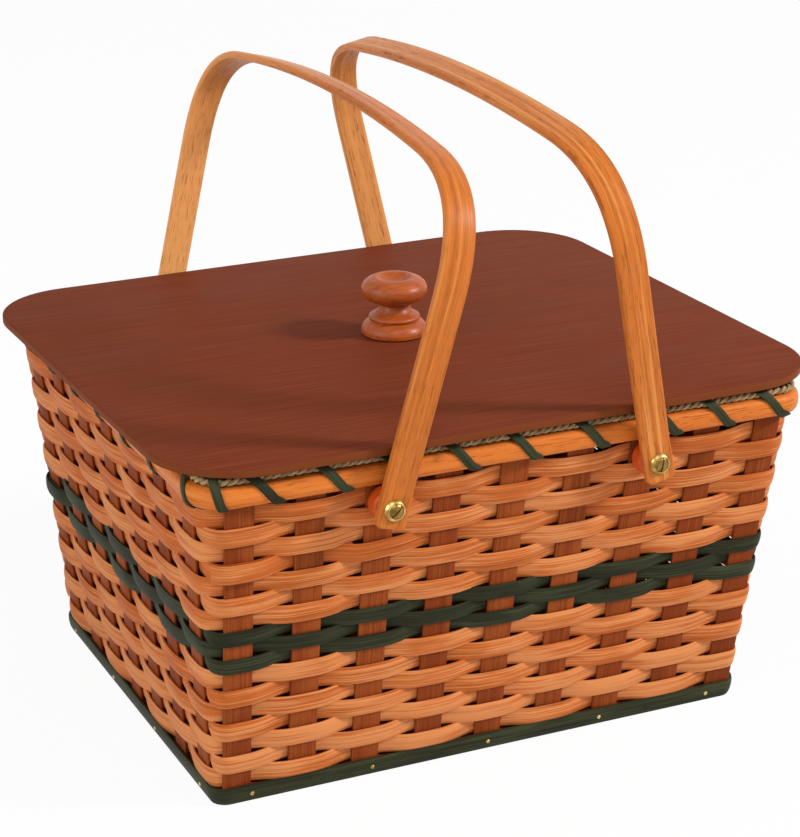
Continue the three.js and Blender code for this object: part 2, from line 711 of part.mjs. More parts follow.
const knobScrewHole = KNOB_SCREW_DIAMETER / 2 + FIT_GAP;
function lidPanelSolid() {
  const outline = new THREE.Shape();
  const [x, y] = [lidHalfLength - LID_CORNER, lidHalfDepth - LID_CORNER];
  outline.absarc(x, -y, LID_CORNER, -Math.PI / 2, 0);
  outline.absarc(x, y, LID_CORNER, 0, Math.PI / 2);
  outline.absarc(-x, y, LID_CORNER, Math.PI / 2, Math.PI);
  outline.absarc(-x, -y, LID_CORNER, Math.PI, 1.5 * Math.PI);
  outline.closePath();
  const hole = new THREE.Path();
  hole.absarc(KNOB_SHIFT, 0, knobScrewHole, 0, 2 * Math.PI, true);
  outline.holes.push(hole);
  return new THREE.ExtrudeGeometry(outline, {
    depth: LID_THICKNESS,
    bevelEnabled: false,
    curveSegments: 8,
  });
}
addMesh("lid_panel", lidPanelSolid(), stainedPly, lid);

const cleatReach = wall(rimLow).length - lashedRim - CLEAT_PLAY - CLEAT_WIDTH / 2;
for (const [name, sign] of [["lid_cleat_left", -1], ["lid_cleat_right", 1]]) {
  const cleat = new THREE.BoxGeometry(CLEAT_WIDTH, CLEAT_LENGTH, CLEAT_HEIGHT);
  cleat.translate(sign * cleatReach, 0, -FIT_GAP - CLEAT_HEIGHT / 2);
  addMesh(name, cleat, stainedPly, lid);
}

// Knob: a turned foot, bead, neck and dished cap, with a pilot hole for its screw
const knobFoot = LID_THICKNESS + FIT_GAP;
const knobBead = knobFoot + KNOB_FOOT_HEIGHT;
const knobNeck = knobBead + KNOB_BEAD_HEIGHT;
const knobCap = knobNeck + KNOB_NECK_HEIGHT;
const knobTop = knobCap + KNOB_CAP_HEIGHT;
const knobHoleTop = knobFoot + KNOB_SCREW_DEPTH + FIT_GAP;
const KNOB_SEGMENTS = 20;
function knobSolid() {
  const [foot, bead, neck] = [KNOB_FOOT_DIAMETER, KNOB_BEAD_DIAMETER, KNOB_NECK_DIAMETER];
  const halfCap = KNOB_CAP_DIAMETER / 2;
  const capTurn = (degrees) => [
    halfCap * Math.cos(degToRad(degrees)),
    knobCap + (KNOB_CAP_HEIGHT / 2) * (1 + Math.sin(degToRad(degrees))),
  ];
  const profile = [
    [0, knobHoleTop],
    [knobScrewHole, knobHoleTop],
    [knobScrewHole, knobFoot],
    [foot / 2, knobFoot],
    [foot / 2, knobFoot + KNOB_FOOT_HEIGHT * 0.35],
    [lerp(foot, bead, 0.6) / 2, knobFoot + KNOB_FOOT_HEIGHT * 0.7],
    [bead / 2 - 2, knobBead],
    [bead / 2, knobBead + KNOB_BEAD_HEIGHT * 0.4],
    [neck / 2 + 1, knobNeck],
    [neck / 2, knobNeck + KNOB_NECK_HEIGHT * 0.6],
    ...[-50, -25, 0, 25].map(capTurn),
    [KNOB_DIMPLE_DIAMETER / 2, knobTop],
    [0, knobTop - KNOB_DIMPLE],
  ];
  return turned(profile, KNOB_SEGMENTS).rotateX(Math.PI / 2);
}
addMesh("lid_knob", knobSolid().translate(KNOB_SHIFT, 0, 0), turnedWood, lid);

function knobScrewSolid() {
  const headLow = -FIT_GAP - KNOB_SCREW_HEAD_HEIGHT;
  const head = KNOB_SCREW_HEAD_DIAMETER / 2;
  const profile = [
    [0, headLow],
    [head * 0.7, headLow],
    [head, -FIT_GAP - KNOB_SCREW_HEAD_HEIGHT / 2],
    [head, -FIT_GAP],
    [KNOB_SCREW_DIAMETER / 2, -FIT_GAP],
    [KNOB_SCREW_DIAMETER / 2, knobHoleTop - FIT_GAP * 2],
    [0, knobHoleTop - FIT_GAP],
  ];
  return turned(profile, HOLE_SEGMENTS).rotateX(Math.PI / 2);
}
addMesh("knob_screw", knobScrewSolid().translate(KNOB_SHIFT, 0, 0), brass, lid);

export default basket;
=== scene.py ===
"""Picnic basket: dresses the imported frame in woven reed, bent oak, stained plywood and brass.

Metres, +Z up, in the frame's own axes: +X along the long side and -Y out of the front wall.
"""
import json
import math
import random
from itertools import pairwise

import bmesh
import bpy
from bpy.props import FloatProperty, FloatVectorProperty, IntProperty, PointerProperty
from mathutils import Matrix, Vector


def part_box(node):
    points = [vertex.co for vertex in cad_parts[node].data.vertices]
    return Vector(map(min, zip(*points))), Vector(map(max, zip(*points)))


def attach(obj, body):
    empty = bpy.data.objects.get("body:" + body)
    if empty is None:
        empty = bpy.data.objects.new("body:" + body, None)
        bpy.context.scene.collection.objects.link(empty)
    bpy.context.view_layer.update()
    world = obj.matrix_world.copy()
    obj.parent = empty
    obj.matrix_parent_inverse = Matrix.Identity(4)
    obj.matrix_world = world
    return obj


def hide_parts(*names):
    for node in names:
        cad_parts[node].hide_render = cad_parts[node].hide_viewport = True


bl_info = {
    "name": "Picnic Basket",
    "version": (1, 0, 0),
    "blender": (4, 5, 0),
    "location": "3D View > Sidebar > Basket",
    "description": "Dresses a woven picnic basket with its lid, rim and swing handles",
    "category": "Object",
}

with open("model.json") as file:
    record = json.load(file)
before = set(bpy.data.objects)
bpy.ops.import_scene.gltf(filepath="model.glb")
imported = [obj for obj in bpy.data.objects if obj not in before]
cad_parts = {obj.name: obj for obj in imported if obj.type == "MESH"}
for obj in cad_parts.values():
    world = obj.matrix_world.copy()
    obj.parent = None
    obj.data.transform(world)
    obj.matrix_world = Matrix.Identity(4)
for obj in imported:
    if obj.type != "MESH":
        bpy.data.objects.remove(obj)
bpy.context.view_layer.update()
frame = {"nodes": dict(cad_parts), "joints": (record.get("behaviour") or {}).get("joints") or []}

MM = 0.001
SEED = 17
MERGE = 0.01 * MM  # points nearer than this are one

# The wall: its stakes and rows, partly read from the frame
LONG_STAKES = 9
SHORT_STAKES = 7
STAKE_THICKNESS = 1.8 * MM
STAKE_FOOT = 1.5 * MM
BAND_THICKNESS = 2.5 * MM
SEAT_GAP = 0.3 * MM
ROW_GAP = 0.45 * MM
ROWS = [f"weaver_{number:02d}" for number in range(1, 18)]
GREEN_ROWS = ("weaver_08", "weaver_09", "weaver_10")
STAKE_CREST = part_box("base_and_stakes")[1]
BAND_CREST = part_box("base_band")[1]
WEAVE_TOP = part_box(ROWS[0])[1].z + ROW_GAP
FLOOR_MARGINS = (12.4 * MM, 20.5 * MM)  # from the corner to the last stake, on long and short walls
MOUTH_MARGINS = (21.2 * MM, 30.6 * MM)
FLOOR_CORNER = 8 * MM
MOUTH_CORNER = 16 * MM
WEAVE_STEPS = 10  # cross sections from one stake to the next

# The rim
RIM_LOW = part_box("rim_outer")[0].z
RIM_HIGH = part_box("rim_outer")[1].z
RIM_THICKNESS = 5.5 * MM
RIM_SEAT = STAKE_THICKNESS / 2 + SEAT_GAP
FILLER_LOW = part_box("rim_filler")[0].z
FILLER_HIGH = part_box("rim_filler")[1].z

# The handles: a strap drawn from its pivots, the sizes measured along the strap's middle line
STRAP_TAIL = 12 * MM
STRAP_HEEL = 15 * MM
HANDLE_RISE = 217.4 * MM
CROWN_ARCH = 8.5 * MM
CROWN_HALF = 144 * MM
SHOULDER_RISE = 132 * MM
SHOULDER_SPREAD = 7.5 * MM
BEND_PULL = 47 * MM
TAIL_STEPS, LEG_STEPS, BEND_STEPS, CROWN_STEPS = 8, 10, 26, 28
LEANS = {"left": math.radians(14), "right": math.radians(-12)}
HINGES = {joint["child"]: Vector(joint["pos_m"]) for joint in frame["joints"] if "pos_m" in joint}

# The lid
LID_TURN = math.radians(0.8)
LID_CORNER = 58 * MM

# The camera: lens and place were fitted to the basket's straight edges
PHOTO_HEIGHT = 837
FOCAL_PIXELS = 2483.9
SENSOR = 36
CAMERA_AZIMUTH = math.radians(-24.94)
CAMERA_ELEVATION = math.radians(20.22)
CAMERA_PLACE = (-0.6685, -1.4526, 0.7702)


def linear(code):
    """Turns an sRGB hex colour into the linear colour that Blender's sockets take."""
    parts = [int(code[place:place + 2], 16) / 255 for place in (1, 3, 5)]
    return [c / 12.92 if c <= 0.04045 else ((c + 0.055) / 1.055) ** 2.4 for c in parts] + [1.0]


def lerp(low, high, share):
    return low + (high - low) * share


def eased(share):
    """0 up to 0 and 1 from 1 on, with a smooth way between."""
    held = min(max(share, 0), 1)
    return held * held * (3 - 2 * held)


# Settings


def length_setting(name, description, millimetres):
    return FloatProperty(name=name, description=description, default=millimetres * MM, unit="LENGTH")


def colour_setting(name, description, code):
    return FloatVectorProperty(
        name=name, description=description, default=linear(code), size=4, subtype="COLOR", min=0, max=1
    )


def power_setting(name, description, watts):
    return FloatProperty(name=name, description=description, default=watts, unit="POWER")


class BasketSizes(bpy.types.PropertyGroup):
    """Sizes of the reed, cord and straps that the basket is made from."""

    stake_width: length_setting("Stake width", "Width of the upright flat reed", 19)
    weaver_width: length_setting("Weaver width", "Width of the honey coloured weavers", 13)
    green_width: length_setting("Green weaver width", "Width of the dyed weavers", 10.6)
    weaver_thickness: length_setting("Weaver thickness", "Thickness of the flat oval reed", 2.0)
    weave_swing: length_setting("Weave swing", "How far a weaver stands out over a stake", 2.2)
    weave_droop: length_setting("Weave droop", "How far a weaver settles down over a stake", 0.5)
    cord_twist: length_setting("Cord twist", "Length of one turn of the seagrass cord", 11)
    cord_strands: IntProperty(
        name="Cord strands", description="Strands in the cord", default=2, min=2, max=4
    )
    lashing_width: length_setting("Lashing width", "Width of the strip wound round the rim", 5.8)
    lashing_thickness: length_setting("Lashing thickness", "Thickness of that strip", 0.9)
    strap_width: length_setting("Strap width", "Width of a handle's strap", 20.2)
    strap_thickness: length_setting("Strap thickness", "Thickness of a handle's strap", 5.5)
    brad_size: length_setting("Brad size", "Diameter of the brads in the base band", 2.9)


class BasketColours(bpy.types.PropertyGroup):
    """Colours of the basket's finishes."""

    honey_dark: colour_setting("Honey reed, dark", "Dark fibres of the plain weavers", "#95451B")
    honey: colour_setting("Honey reed", "Body of the plain weavers", "#C1652E")
    honey_light: colour_setting("Honey reed, light", "Light fibres of the plain weavers", "#D98B54")
    stake_dark: colour_setting("Stained reed, dark", "Dark grain of the stakes", "#6E2F11")
    stake: colour_setting("Stained reed", "Body of the stakes", "#853B17")
    stake_light: colour_setting("Stained reed, light", "Light grain of the stakes", "#974B20")
    green_dark: colour_setting("Green reed, dark", "Dark fibres of the dyed reed", "#1D1F13")
    green: colour_setting("Green reed", "Body of the dyed reed", "#2E2F20")
    green_light: colour_setting("Green reed, light", "Light fibres of the dyed reed", "#3F432D")
    oak_dark: colour_setting("Oak, pores", "Open pores of the bent oak", "#864116")
    oak: colour_setting("Oak", "Body of the bent oak", "#CA712D")
    oak_light: colour_setting("Oak, light", "Light grain of the bent oak", "#E29C55")
    # Painted light: the lighter colour that a strap's far end, its back leg, is mixed with
    oak_painted_light: colour_setting("Oak, pale", "The pale end of a light strap", "#F2AC68")
    rim_dark: colour_setting("Rim, pores", "Open pores of the rim hoops", "#8E4716")
    rim: colour_setting("Rim", "Body of the rim hoops", "#D5742C")
    rim_light: colour_setting("Rim, light", "Light grain of the rim hoops", "#E6974E")
    grass_dark: colour_setting("Seagrass, dark", "Dark blades of the cord", "#6A5334")
    grass: colour_setting("Seagrass", "Body of the cord", "#A6885D")
    grass_light: colour_setting("Seagrass, light", "Light blades of the cord", "#CFB588")
    ply_dark: colour_setting("Plywood, dark", "Dark grain of the lid", "#6C301A")
    ply: colour_setting("Plywood", "Body of the lid's stain", "#74361F")
    ply_light: colour_setting("Plywood, light", "Light grain of the lid", "#7C3C24")
    ply_edge: colour_setting("Plywood edge", "Cut edge of the lid", "#753A1A")
    ply_edge_dark: colour_setting("Plywood edge, dark", "Cross plies in the lid's edge", "#4A210F")
    turned_dark: colour_setting("Turned wood, dark", "Dark grain of the knob", "#96451A")
    turned: colour_setting("Turned wood", "Body of the knob", "#AA501C")
    turned_light: colour_setting("Turned wood, light", "Light grain of the knob", "#B95E28")
    spacer_dark: colour_setting("Spacers, dark", "Dark grain of the pivot spacers", "#AE4311")
    spacer: colour_setting("Spacers", "Body of the pivot spacers", "#C84D16")
    spacer_light: colour_setting("Spacers, light", "Light grain of the pivot spacers", "#D45F22")
    brass: colour_setting("Brass", "Screws, washers and brads", "#DDBB75")
    brass_dull: colour_setting("Brass, dull", "Handled places on the brass", "#A17C3C")
    # The screw heads are given a darker brass than the washers, with darker patches in it
    screw: colour_setting("Screw heads", "Brass of the screw heads, darker in the slot's wear", "#A88749")
    screw_dull: colour_setting("Screw heads, dull", "Tarnish on the screw heads", "#6F5429")


class BasketStage(bpy.types.PropertyGroup):
    """Light round the basket, and the floor that it stands on."""

    floor: colour_setting("Floor", "The pale floor", "#F0F0F0")
    floor_glow: FloatProperty(
        name="Floor glow", description="How white the floor looks", default=0.94, min=0, max=1
    )
    ambient: FloatProperty(
        name="Ambient", description="Strength of the light from all round", default=0.34, min=0
    )
    key: power_setting("Key", "Power of the lamp at the right", 285)
    fill: power_setting("Fill", "Power of the lamp in front", 34)
    side: power_setting("Side", "Power of the lamp at the left", 44)


# Materials


def add_node(tree, kind, inputs=None, stops=(), **settings):
    """Adds a node, with its settings, its colour stops and its inputs as values or links."""
    made = tree.nodes.new(kind)
    for name, value in settings.items():
        setattr(made, name, value)
    for place, (position, colour) in enumerate(stops):
        held = made.color_ramp.elements
        stop = held[place] if place < len(held) else held.new(position)
        stop.position = position
        stop.color = colour
    for name, value in (inputs or {}).items():
        if isinstance(value, bpy.types.NodeSocket):
            tree.links.new(value, made.inputs[name])
        else:
            made.inputs[name].default_value = value
    return made


def material(name, build, *values):
    """Makes a material once. Its build function returns the node that shades the surface."""
    made = bpy.data.materials.get(name)
    if made is None:
        made = bpy.data.materials.new(name)
        made.use_nodes = True
        tree = made.node_tree
        tree.nodes.clear()
        shader = build(tree, *values)
        add_node(tree, "ShaderNodeOutputMaterial", {"Surface": shader.outputs[0]})
    return made


def build_reed(tree, dark, body, light, roughness, groove):
    """Flat oval reed, split and shaved: long straight fibres with a satin face and fine grooves."""
    fibre = (0.8 * MM, 70 * MM)  # width and length
    furrow = (1.9 * MM, 160 * MM)
    cloud = (14 * MM, 60 * MM)
    fibre_share, cloud_share, tone_share = 0.76, 0.55, 0.26
    strand_spread = 40  # keeps one strand's pattern apart from the next
    grain = add_node(tree, "ShaderNodeAttribute", attribute_name="grain").outputs["Vector"]
    tone = add_node(tree, "ShaderNodeSeparateXYZ", {"Vector": grain}).outputs["Z"]
    patterns = []
    for width, length in (fibre, furrow, cloud):
        scale = (1 / width, 1 / length, strand_spread)
        laid = add_node(tree, "ShaderNodeMapping", {"Vector": grain, "Scale": scale})
        noise = add_node(
            tree,
            "ShaderNodeTexNoise",
            {"Vector": laid.outputs[0], "Scale": 1.0, "Detail": 3.0, "Roughness": 0.55},
        )
        patterns.append(noise.outputs[0])
    fibres, grooves, clouds = patterns
    soft = add_node(
        tree,
        "ShaderNodeMath",
        {0: fibres, 1: fibre_share, 2: (1 - fibre_share) / 2},
        operation="MULTIPLY_ADD",
    )
    mixed = add_node(
        tree, "ShaderNodeMath", {0: clouds, 1: cloud_share, 2: soft.outputs[0]}, operation="MULTIPLY_ADD"
    )
    toned = add_node(
        tree, "ShaderNodeMath", {0: tone, 1: tone_share, 2: mixed.outputs[0]}, operation="MULTIPLY_ADD"
    )
    colour = add_node(
        tree,
        "ShaderNodeValToRGB",
        {0: toned.outputs[0]},
        stops=((0.55, dark), (0.86, body), (1.0, light)),
    )
    cut = add_node(tree, "ShaderNodeMapRange", {0: grooves, 1: 0.36, 2: 0.47, 3: groove, 4: 1.0})
    shaded = add_node(
        tree,
        "ShaderNodeMix",
        {0: 1.0, 6: colour.outputs[0], 7: cut.outputs[0]},
        data_type="RGBA",
        blend_type="MULTIPLY",
    )
    ridge = add_node(
        tree, "ShaderNodeMath", {0: cut.outputs[0], 1: 1.5, 2: fibres}, operation="MULTIPLY_ADD"
    )
    bump = add_node(
        tree, "ShaderNodeBump", {"Strength": 0.4, "Distance": 0.3 * MM, "Height": ridge.outputs[0]}
    )
    rough = add_node(
        tree, "ShaderNodeMapRange", {0: fibres, 1: 0.3, 2: 0.7, 3: roughness - 0.06, 4: roughness + 0.1}
    )
    return add_node(
        tree,
        "ShaderNodeBsdfPrincipled",
        {
            "Base Color": shaded.outputs[2],
            "Roughness": rough.outputs[0],
            "Specular IOR Level": 0.06,
            "Normal": bump.outputs[0],
        },
    )


def build_oak(tree, dark, body, light, pale):
    """Steam-bent oak, sanded and oiled: straight grain with long dark pores and a low sheen.

    A strap's far end, along its back leg, is mixed with painted light, most on a strap of low tone.
    """
    band_width, band_length = 3.6 * MM, 240 * MM
    pore_width, pore_length = 0.55 * MM, 12 * MM
    strand_spread = 30
    grain = add_node(tree, "ShaderNodeAttribute", attribute_name="grain").outputs["Vector"]
    bands_laid = add_node(
        tree,
        "ShaderNodeMapping",
        {"Vector": grain, "Scale": (1 / band_width, 1 / band_length, strand_spread)},
    )
    bands = add_node(
        tree,
        "ShaderNodeTexNoise",
        {
            "Vector": bands_laid.outputs[0],
            "Scale": 1.0,
            "Detail": 4.0,
            "Roughness": 0.55,
            "Distortion": 0.2,
        },
    )
    pores_laid = add_node(
        tree,
        "ShaderNodeMapping",
        {"Vector": grain, "Scale": (1 / pore_width, 1 / pore_length, strand_spread)},
    )
    pores = add_node(
        tree,
        "ShaderNodeTexNoise",
        {"Vector": pores_laid.outputs[0], "Scale": 1.0, "Detail": 2.0, "Roughness": 0.5},
    )
    open_pores = add_node(
        tree, "ShaderNodeMapRange", {0: pores.outputs[0], 1: 0.54, 2: 0.68, 3: 0.0, 4: 0.8}
    )
    # Pores crowd in the dark bands of the grain
    early = add_node(tree, "ShaderNodeMapRange", {0: bands.outputs[0], 1: 0.4, 2: 0.62, 3: 1.0, 4: 0.3})
    seen = add_node(
        tree, "ShaderNodeMath", {0: open_pores.outputs[0], 1: early.outputs[0]}, operation="MULTIPLY"
    )
    run = add_node(tree, "ShaderNodeSeparateXYZ", {"Vector": grain})
    toned = add_node(
        tree, "ShaderNodeMath", {0: run.outputs["Z"], 1: 0.2, 2: bands.outputs[0]}, operation="MULTIPLY_ADD"
    )
    dim = [lerp(a, b, 0.45) for a, b in zip(body, dark)]  # the dark bands, where the pores crowd
    colour = add_node(
        tree, "ShaderNodeValToRGB", {0: toned.outputs[0]}, stops=((0.38, dim), (0.58, body), (0.8, light))
    )
    # Painted light: along a strap's back leg the colour is mixed towards a lighter one, most on a strap of
    # low tone
    painted_light_reach = add_node(tree, "ShaderNodeMapRange", {0: run.outputs["Z"], 1: 0.1, 2: 1.0, 3: 1.0, 4: 0.4})
    painted_light_share = add_node(
        tree, "ShaderNodeMapRange", {0: run.outputs["Y"], 1: 0.4, 2: 0.78, 3: 0.0, 4: painted_light_reach.outputs[0]}
    )
    painted_light_colour = add_node(
        tree, "ShaderNodeMix", {0: painted_light_share.outputs[0], 6: colour.outputs[0], 7: pale}, data_type="RGBA"
    )
    shaded = add_node(
        tree, "ShaderNodeMix", {0: seen.outputs[0], 6: painted_light_colour.outputs[2], 7: dark}, data_type="RGBA"
    )
    height = add_node(tree, "ShaderNodeMath", {0: 1.0, 1: seen.outputs[0]}, operation="SUBTRACT")
    bump = add_node(
        tree, "ShaderNodeBump", {"Strength": 0.35, "Distance": 0.2 * MM, "Height": height.outputs[0]}
    )
    rough = add_node(tree, "ShaderNodeMapRange", {0: seen.outputs[0], 1: 0.0, 2: 1.0, 3: 0.38, 4: 0.6})
    return add_node(
        tree,
        "ShaderNodeBsdfPrincipled",
        {
            "Base Color": shaded.outputs[2],
            "Roughness": rough.outputs[0],
            "Specular IOR Level": 0.12,
            "Normal": bump.outputs[0],
        },
    )


def build_seagrass(tree, dark, body, light):
    """Seagrass cord, hand twisted and dry: matt blades that change colour along each strand."""
    blade_width, blade_length = 0.7 * MM, 9 * MM
    strand_spread = 25
    grain = add_node(tree, "ShaderNodeAttribute", attribute_name="grain").outputs["Vector"]
    laid = add_node(
        tree,
        "ShaderNodeMapping",
        {"Vector": grain, "Scale": (1 / blade_width, 1 / blade_length, strand_spread)},
    )
    blades = add_node(
        tree,
        "ShaderNodeTexNoise",
        {"Vector": laid.outputs[0], "Scale": 1.0, "Detail": 3.0, "Roughness": 0.6},
    )
    colour = add_node(
        tree, "ShaderNodeValToRGB", {0: blades.outputs[0]}, stops=((0.32, dark), (0.5, body), (0.7, light))
    )
    bump = add_node(
        tree, "ShaderNodeBump", {"Strength": 0.6, "Distance": 0.3 * MM, "Height": blades.outputs[0]}
    )
    return add_node(
        tree,
        "ShaderNodeBsdfPrincipled",
        {"Base Color": colour.outputs[0], "Roughness": 0.85, "Normal": bump.outputs[0]},
    )


def build_plywood(tree, dark, body, light):
    """Rotary-cut plywood under a wiped red-brown stain: short dark pores along X and soft clouds."""
    grain = (1.6 * MM, 90 * MM)  # width and length
    pore = (0.55 * MM, 9 * MM)
    cloud = (50 * MM, 120 * MM)
    place = add_node(tree, "ShaderNodeTexCoord").outputs["Object"]
    patterns = []
    for width, length in (grain, pore, cloud):
        laid = add_node(
            tree,
            "ShaderNodeMapping",
            {"Vector": place, "Scale": (1 / length, 1 / width, 1 / width), "Rotation": (0, 0, LID_TURN)},
        )
        noise = add_node(
            tree,
            "ShaderNodeTexNoise",
            {"Vector": laid.outputs[0], "Scale": 1.0, "Detail": 3.0, "Roughness": 0.55},
        )
        patterns.append(noise.outputs[0])
    figure, pores, clouds = patterns
    mixed = add_node(tree, "ShaderNodeMath", {0: clouds, 1: 0.25, 2: figure}, operation="MULTIPLY_ADD")
    colour = add_node(
        tree, "ShaderNodeValToRGB", {0: mixed.outputs[0]}, stops=((0.48, dark), (0.62, body), (0.76, light))
    )
    open_pores = add_node(tree, "ShaderNodeMapRange", {0: pores, 1: 0.54, 2: 0.68, 3: 0.0, 4: 0.8})
    shaded = add_node(
        tree, "ShaderNodeMix", {0: open_pores.outputs[0], 6: colour.outputs[0], 7: dark}, data_type="RGBA"
    )
    height = add_node(tree, "ShaderNodeMath", {0: 1.0, 1: open_pores.outputs[0]}, operation="SUBTRACT")
    bump = add_node(
        tree, "ShaderNodeBump", {"Strength": 0.25, "Distance": 0.15 * MM, "Height": height.outputs[0]}
    )
    rough = add_node(tree, "ShaderNodeMapRange", {0: clouds, 1: 0.3, 2: 0.7, 3: 0.58, 4: 0.7})
    return add_node(
        tree,
        "ShaderNodeBsdfPrincipled",
        {
            "Base Color": shaded.outputs[2],
            "Roughness": rough.outputs[0],
            "Specular IOR Level": 0.035,
            "Normal": bump.outputs[0],
        },
    )


def build_ply_edge(tree, dark, body):
    """Sawn edge of the plywood: thin plies in turn along and across the grain."""
    ply = 1.7 * MM
    fibre_width, fibre_height = 2 * MM, 0.6 * MM
    place = add_node(tree, "ShaderNodeTexCoord").outputs["Object"]
    layers = add_node(
        tree,
        "ShaderNodeTexWave",
        {"Vector": place, "Scale": 1 / (ply * 20), "Distortion": 0.6, "Detail": 1.0},
        bands_direction="Z",
    )
    laid = add_node(
        tree,
        "ShaderNodeMapping",
        {"Vector": place, "Scale": (1 / fibre_width, 1 / fibre_width, 1 / fibre_height)},
    )
    fibres = add_node(tree, "ShaderNodeTexNoise", {"Vector": laid.outputs[0], "Scale": 1.0, "Detail": 2.0})
    mixed = add_node(
        tree,
        "ShaderNodeMath",
        {0: fibres.outputs[0], 1: 0.8, 2: layers.outputs["Fac"]},
        operation="MULTIPLY_ADD",
    )
    colour = add_node(
        tree, "ShaderNodeValToRGB", {0: mixed.outputs[0]}, stops=((0.3, dark), (0.75, body))
    )
    return add_node(
        tree,
        "ShaderNodeBsdfPrincipled",
        {"Base Color": colour.outputs[0], "Roughness": 0.6, "Specular IOR Level": 0.07},
    )


def build_turned(tree, dark, body, light):
    """Hardwood turned on a lathe, stained and waxed: fine grain across X and a soft shine."""
    grain_width, grain_length = 2.2 * MM, 30 * MM
    place = add_node(tree, "ShaderNodeTexCoord").outputs["Object"]
    scale = (1 / grain_length, 1 / grain_width, 1 / grain_width)
    laid = add_node(tree, "ShaderNodeMapping", {"Vector": place, "Scale": scale})
    figure = add_node(
        tree,
        "ShaderNodeTexNoise",
        {"Vector": laid.outputs[0], "Scale": 1.0, "Detail": 4.0, "Roughness": 0.6},
    )
    colour = add_node(
        tree, "ShaderNodeValToRGB", {0: figure.outputs[0]}, stops=((0.32, dark), (0.5, body), (0.7, light))
    )
    bump = add_node(
        tree, "ShaderNodeBump", {"Strength": 0.12, "Distance": 0.1 * MM, "Height": figure.outputs[0]}
    )
    return add_node(
        tree,
        "ShaderNodeBsdfPrincipled",
        {
            "Base Color": colour.outputs[0],
            "Roughness": 0.4,
            "Specular IOR Level": 0.28,
            "Coat Weight": 0.06,
            "Coat Roughness": 0.25,
            "Normal": bump.outputs[0],
        },
    )


def build_brass(tree, bright, dull):
    """Brass-plated steel, polished: dulled in patches where it has been handled."""
    patch = 6 * MM
    place = add_node(tree, "ShaderNodeTexCoord").outputs["Object"]
    patches = add_node(tree, "ShaderNodeTexNoise", {"Vector": place, "Scale": 1 / patch, "Detail": 3.0})
    colour = add_node(
        tree, "ShaderNodeValToRGB", {0: patches.outputs[0]}, stops=((0.35, dull), (0.6, bright))
    )
    rough = add_node(tree, "ShaderNodeMapRange", {0: patches.outputs[0], 1: 0.3, 2: 0.7, 3: 0.36, 4: 0.2})
    return add_node(
        tree,
        "ShaderNodeBsdfPrincipled",
        {"Base Color": colour.outputs[0], "Metallic": 1.0, "Roughness": rough.outputs[0]},
    )


def seen_directly(tree):
    """1 for what the camera sees straight, in a reflection or through glass."""
    rays = add_node(tree, "ShaderNodeLightPath").outputs
    straight = add_node(
        tree, "ShaderNodeMath", {0: rays["Is Camera Ray"], 1: rays["Is Glossy Ray"]}, operation="MAXIMUM"
    )
    return add_node(
        tree,
        "ShaderNodeMath",
        {0: straight.outputs[0], 1: rays["Is Transmission Ray"]},
        operation="MAXIMUM",
    )


def build_floor(tree, colour, glow):
    """Seamless paper, pale and matt, that looks white but keeps the basket's shadow."""
    paper = add_node(tree, "ShaderNodeBsdfDiffuse", {"Color": colour})
    white = add_node(tree, "ShaderNodeEmission", {"Color": (1, 1, 1, 1), "Strength": 1.0})
    share = add_node(
        tree, "ShaderNodeMath", {0: seen_directly(tree).outputs[0], 1: glow}, operation="MULTIPLY"
    )
    return add_node(
        tree, "ShaderNodeMixShader", {0: share.outputs[0], 1: paper.outputs[0], 2: white.outputs[0]}
    )


def honey_reed(colours):
    return material(
        "honey_flat_oval_reed", build_reed, colours.honey_dark, colours.honey, colours.honey_light, 0.5, 0.8
    )


def stake_reed(colours):
    return material(
        "stained_flat_reed", build_reed, colours.stake_dark, colours.stake, colours.stake_light, 0.55, 0.92
    )


def green_reed(colours):
    return material(
        "green_dyed_reed", build_reed, colours.green_dark, colours.green, colours.green_light, 0.5, 0.8
    )


def bent_oak(colours):
    return material(
        "steam_bent_oak", build_oak, colours.oak_dark, colours.oak, colours.oak_light, colours.oak_painted_light
    )


# The rim is given its own body colour in place of painted light, so its far part is only evened out towards
# that colour
def rim_oak(colours):
    return material(
        "oiled_rim_oak", build_oak, colours.rim_dark, colours.rim, colours.rim_light, colours.rim
    )


def seagrass(colours):
    return material(
        "twisted_seagrass", build_seagrass, colours.grass_dark, colours.grass, colours.grass_light
    )


def stained_ply(colours):
    return material("stained_plywood", build_plywood, colours.ply_dark, colours.ply, colours.ply_light)


def ply_edge(colours):
    return material("sawn_plywood_edge", build_ply_edge, colours.ply_edge_dark, colours.ply_edge)


def turned_wood(colours):
    return material(
        "turned_hardwood", build_turned, colours.turned_dark, colours.turned, colours.turned_light
    )


def spacer_wood(colours):
    return material(
        "turned_spacer_wood", build_turned, colours.spacer_dark, colours.spacer, colours.spacer_light
    )


def plated_brass(colours):
    return material("plated_brass", build_brass, colours.brass, colours.brass_dull)


# A darker brass for the screw heads
def tarnished_brass(colours):
    return material("tarnished_brass", build_brass, colours.screw, colours.screw_dull)


# The wall's plan

SIDES = (
    (Vector((1, 0, 0)), Vector((0, -1, 0))),
    (Vector((0, 1, 0)), Vector((1, 0, 0))),
    (Vector((-1, 0, 0)), Vector((0, 1, 0))),
    (Vector((0, -1, 0)), Vector((-1, 0, 0))),
)


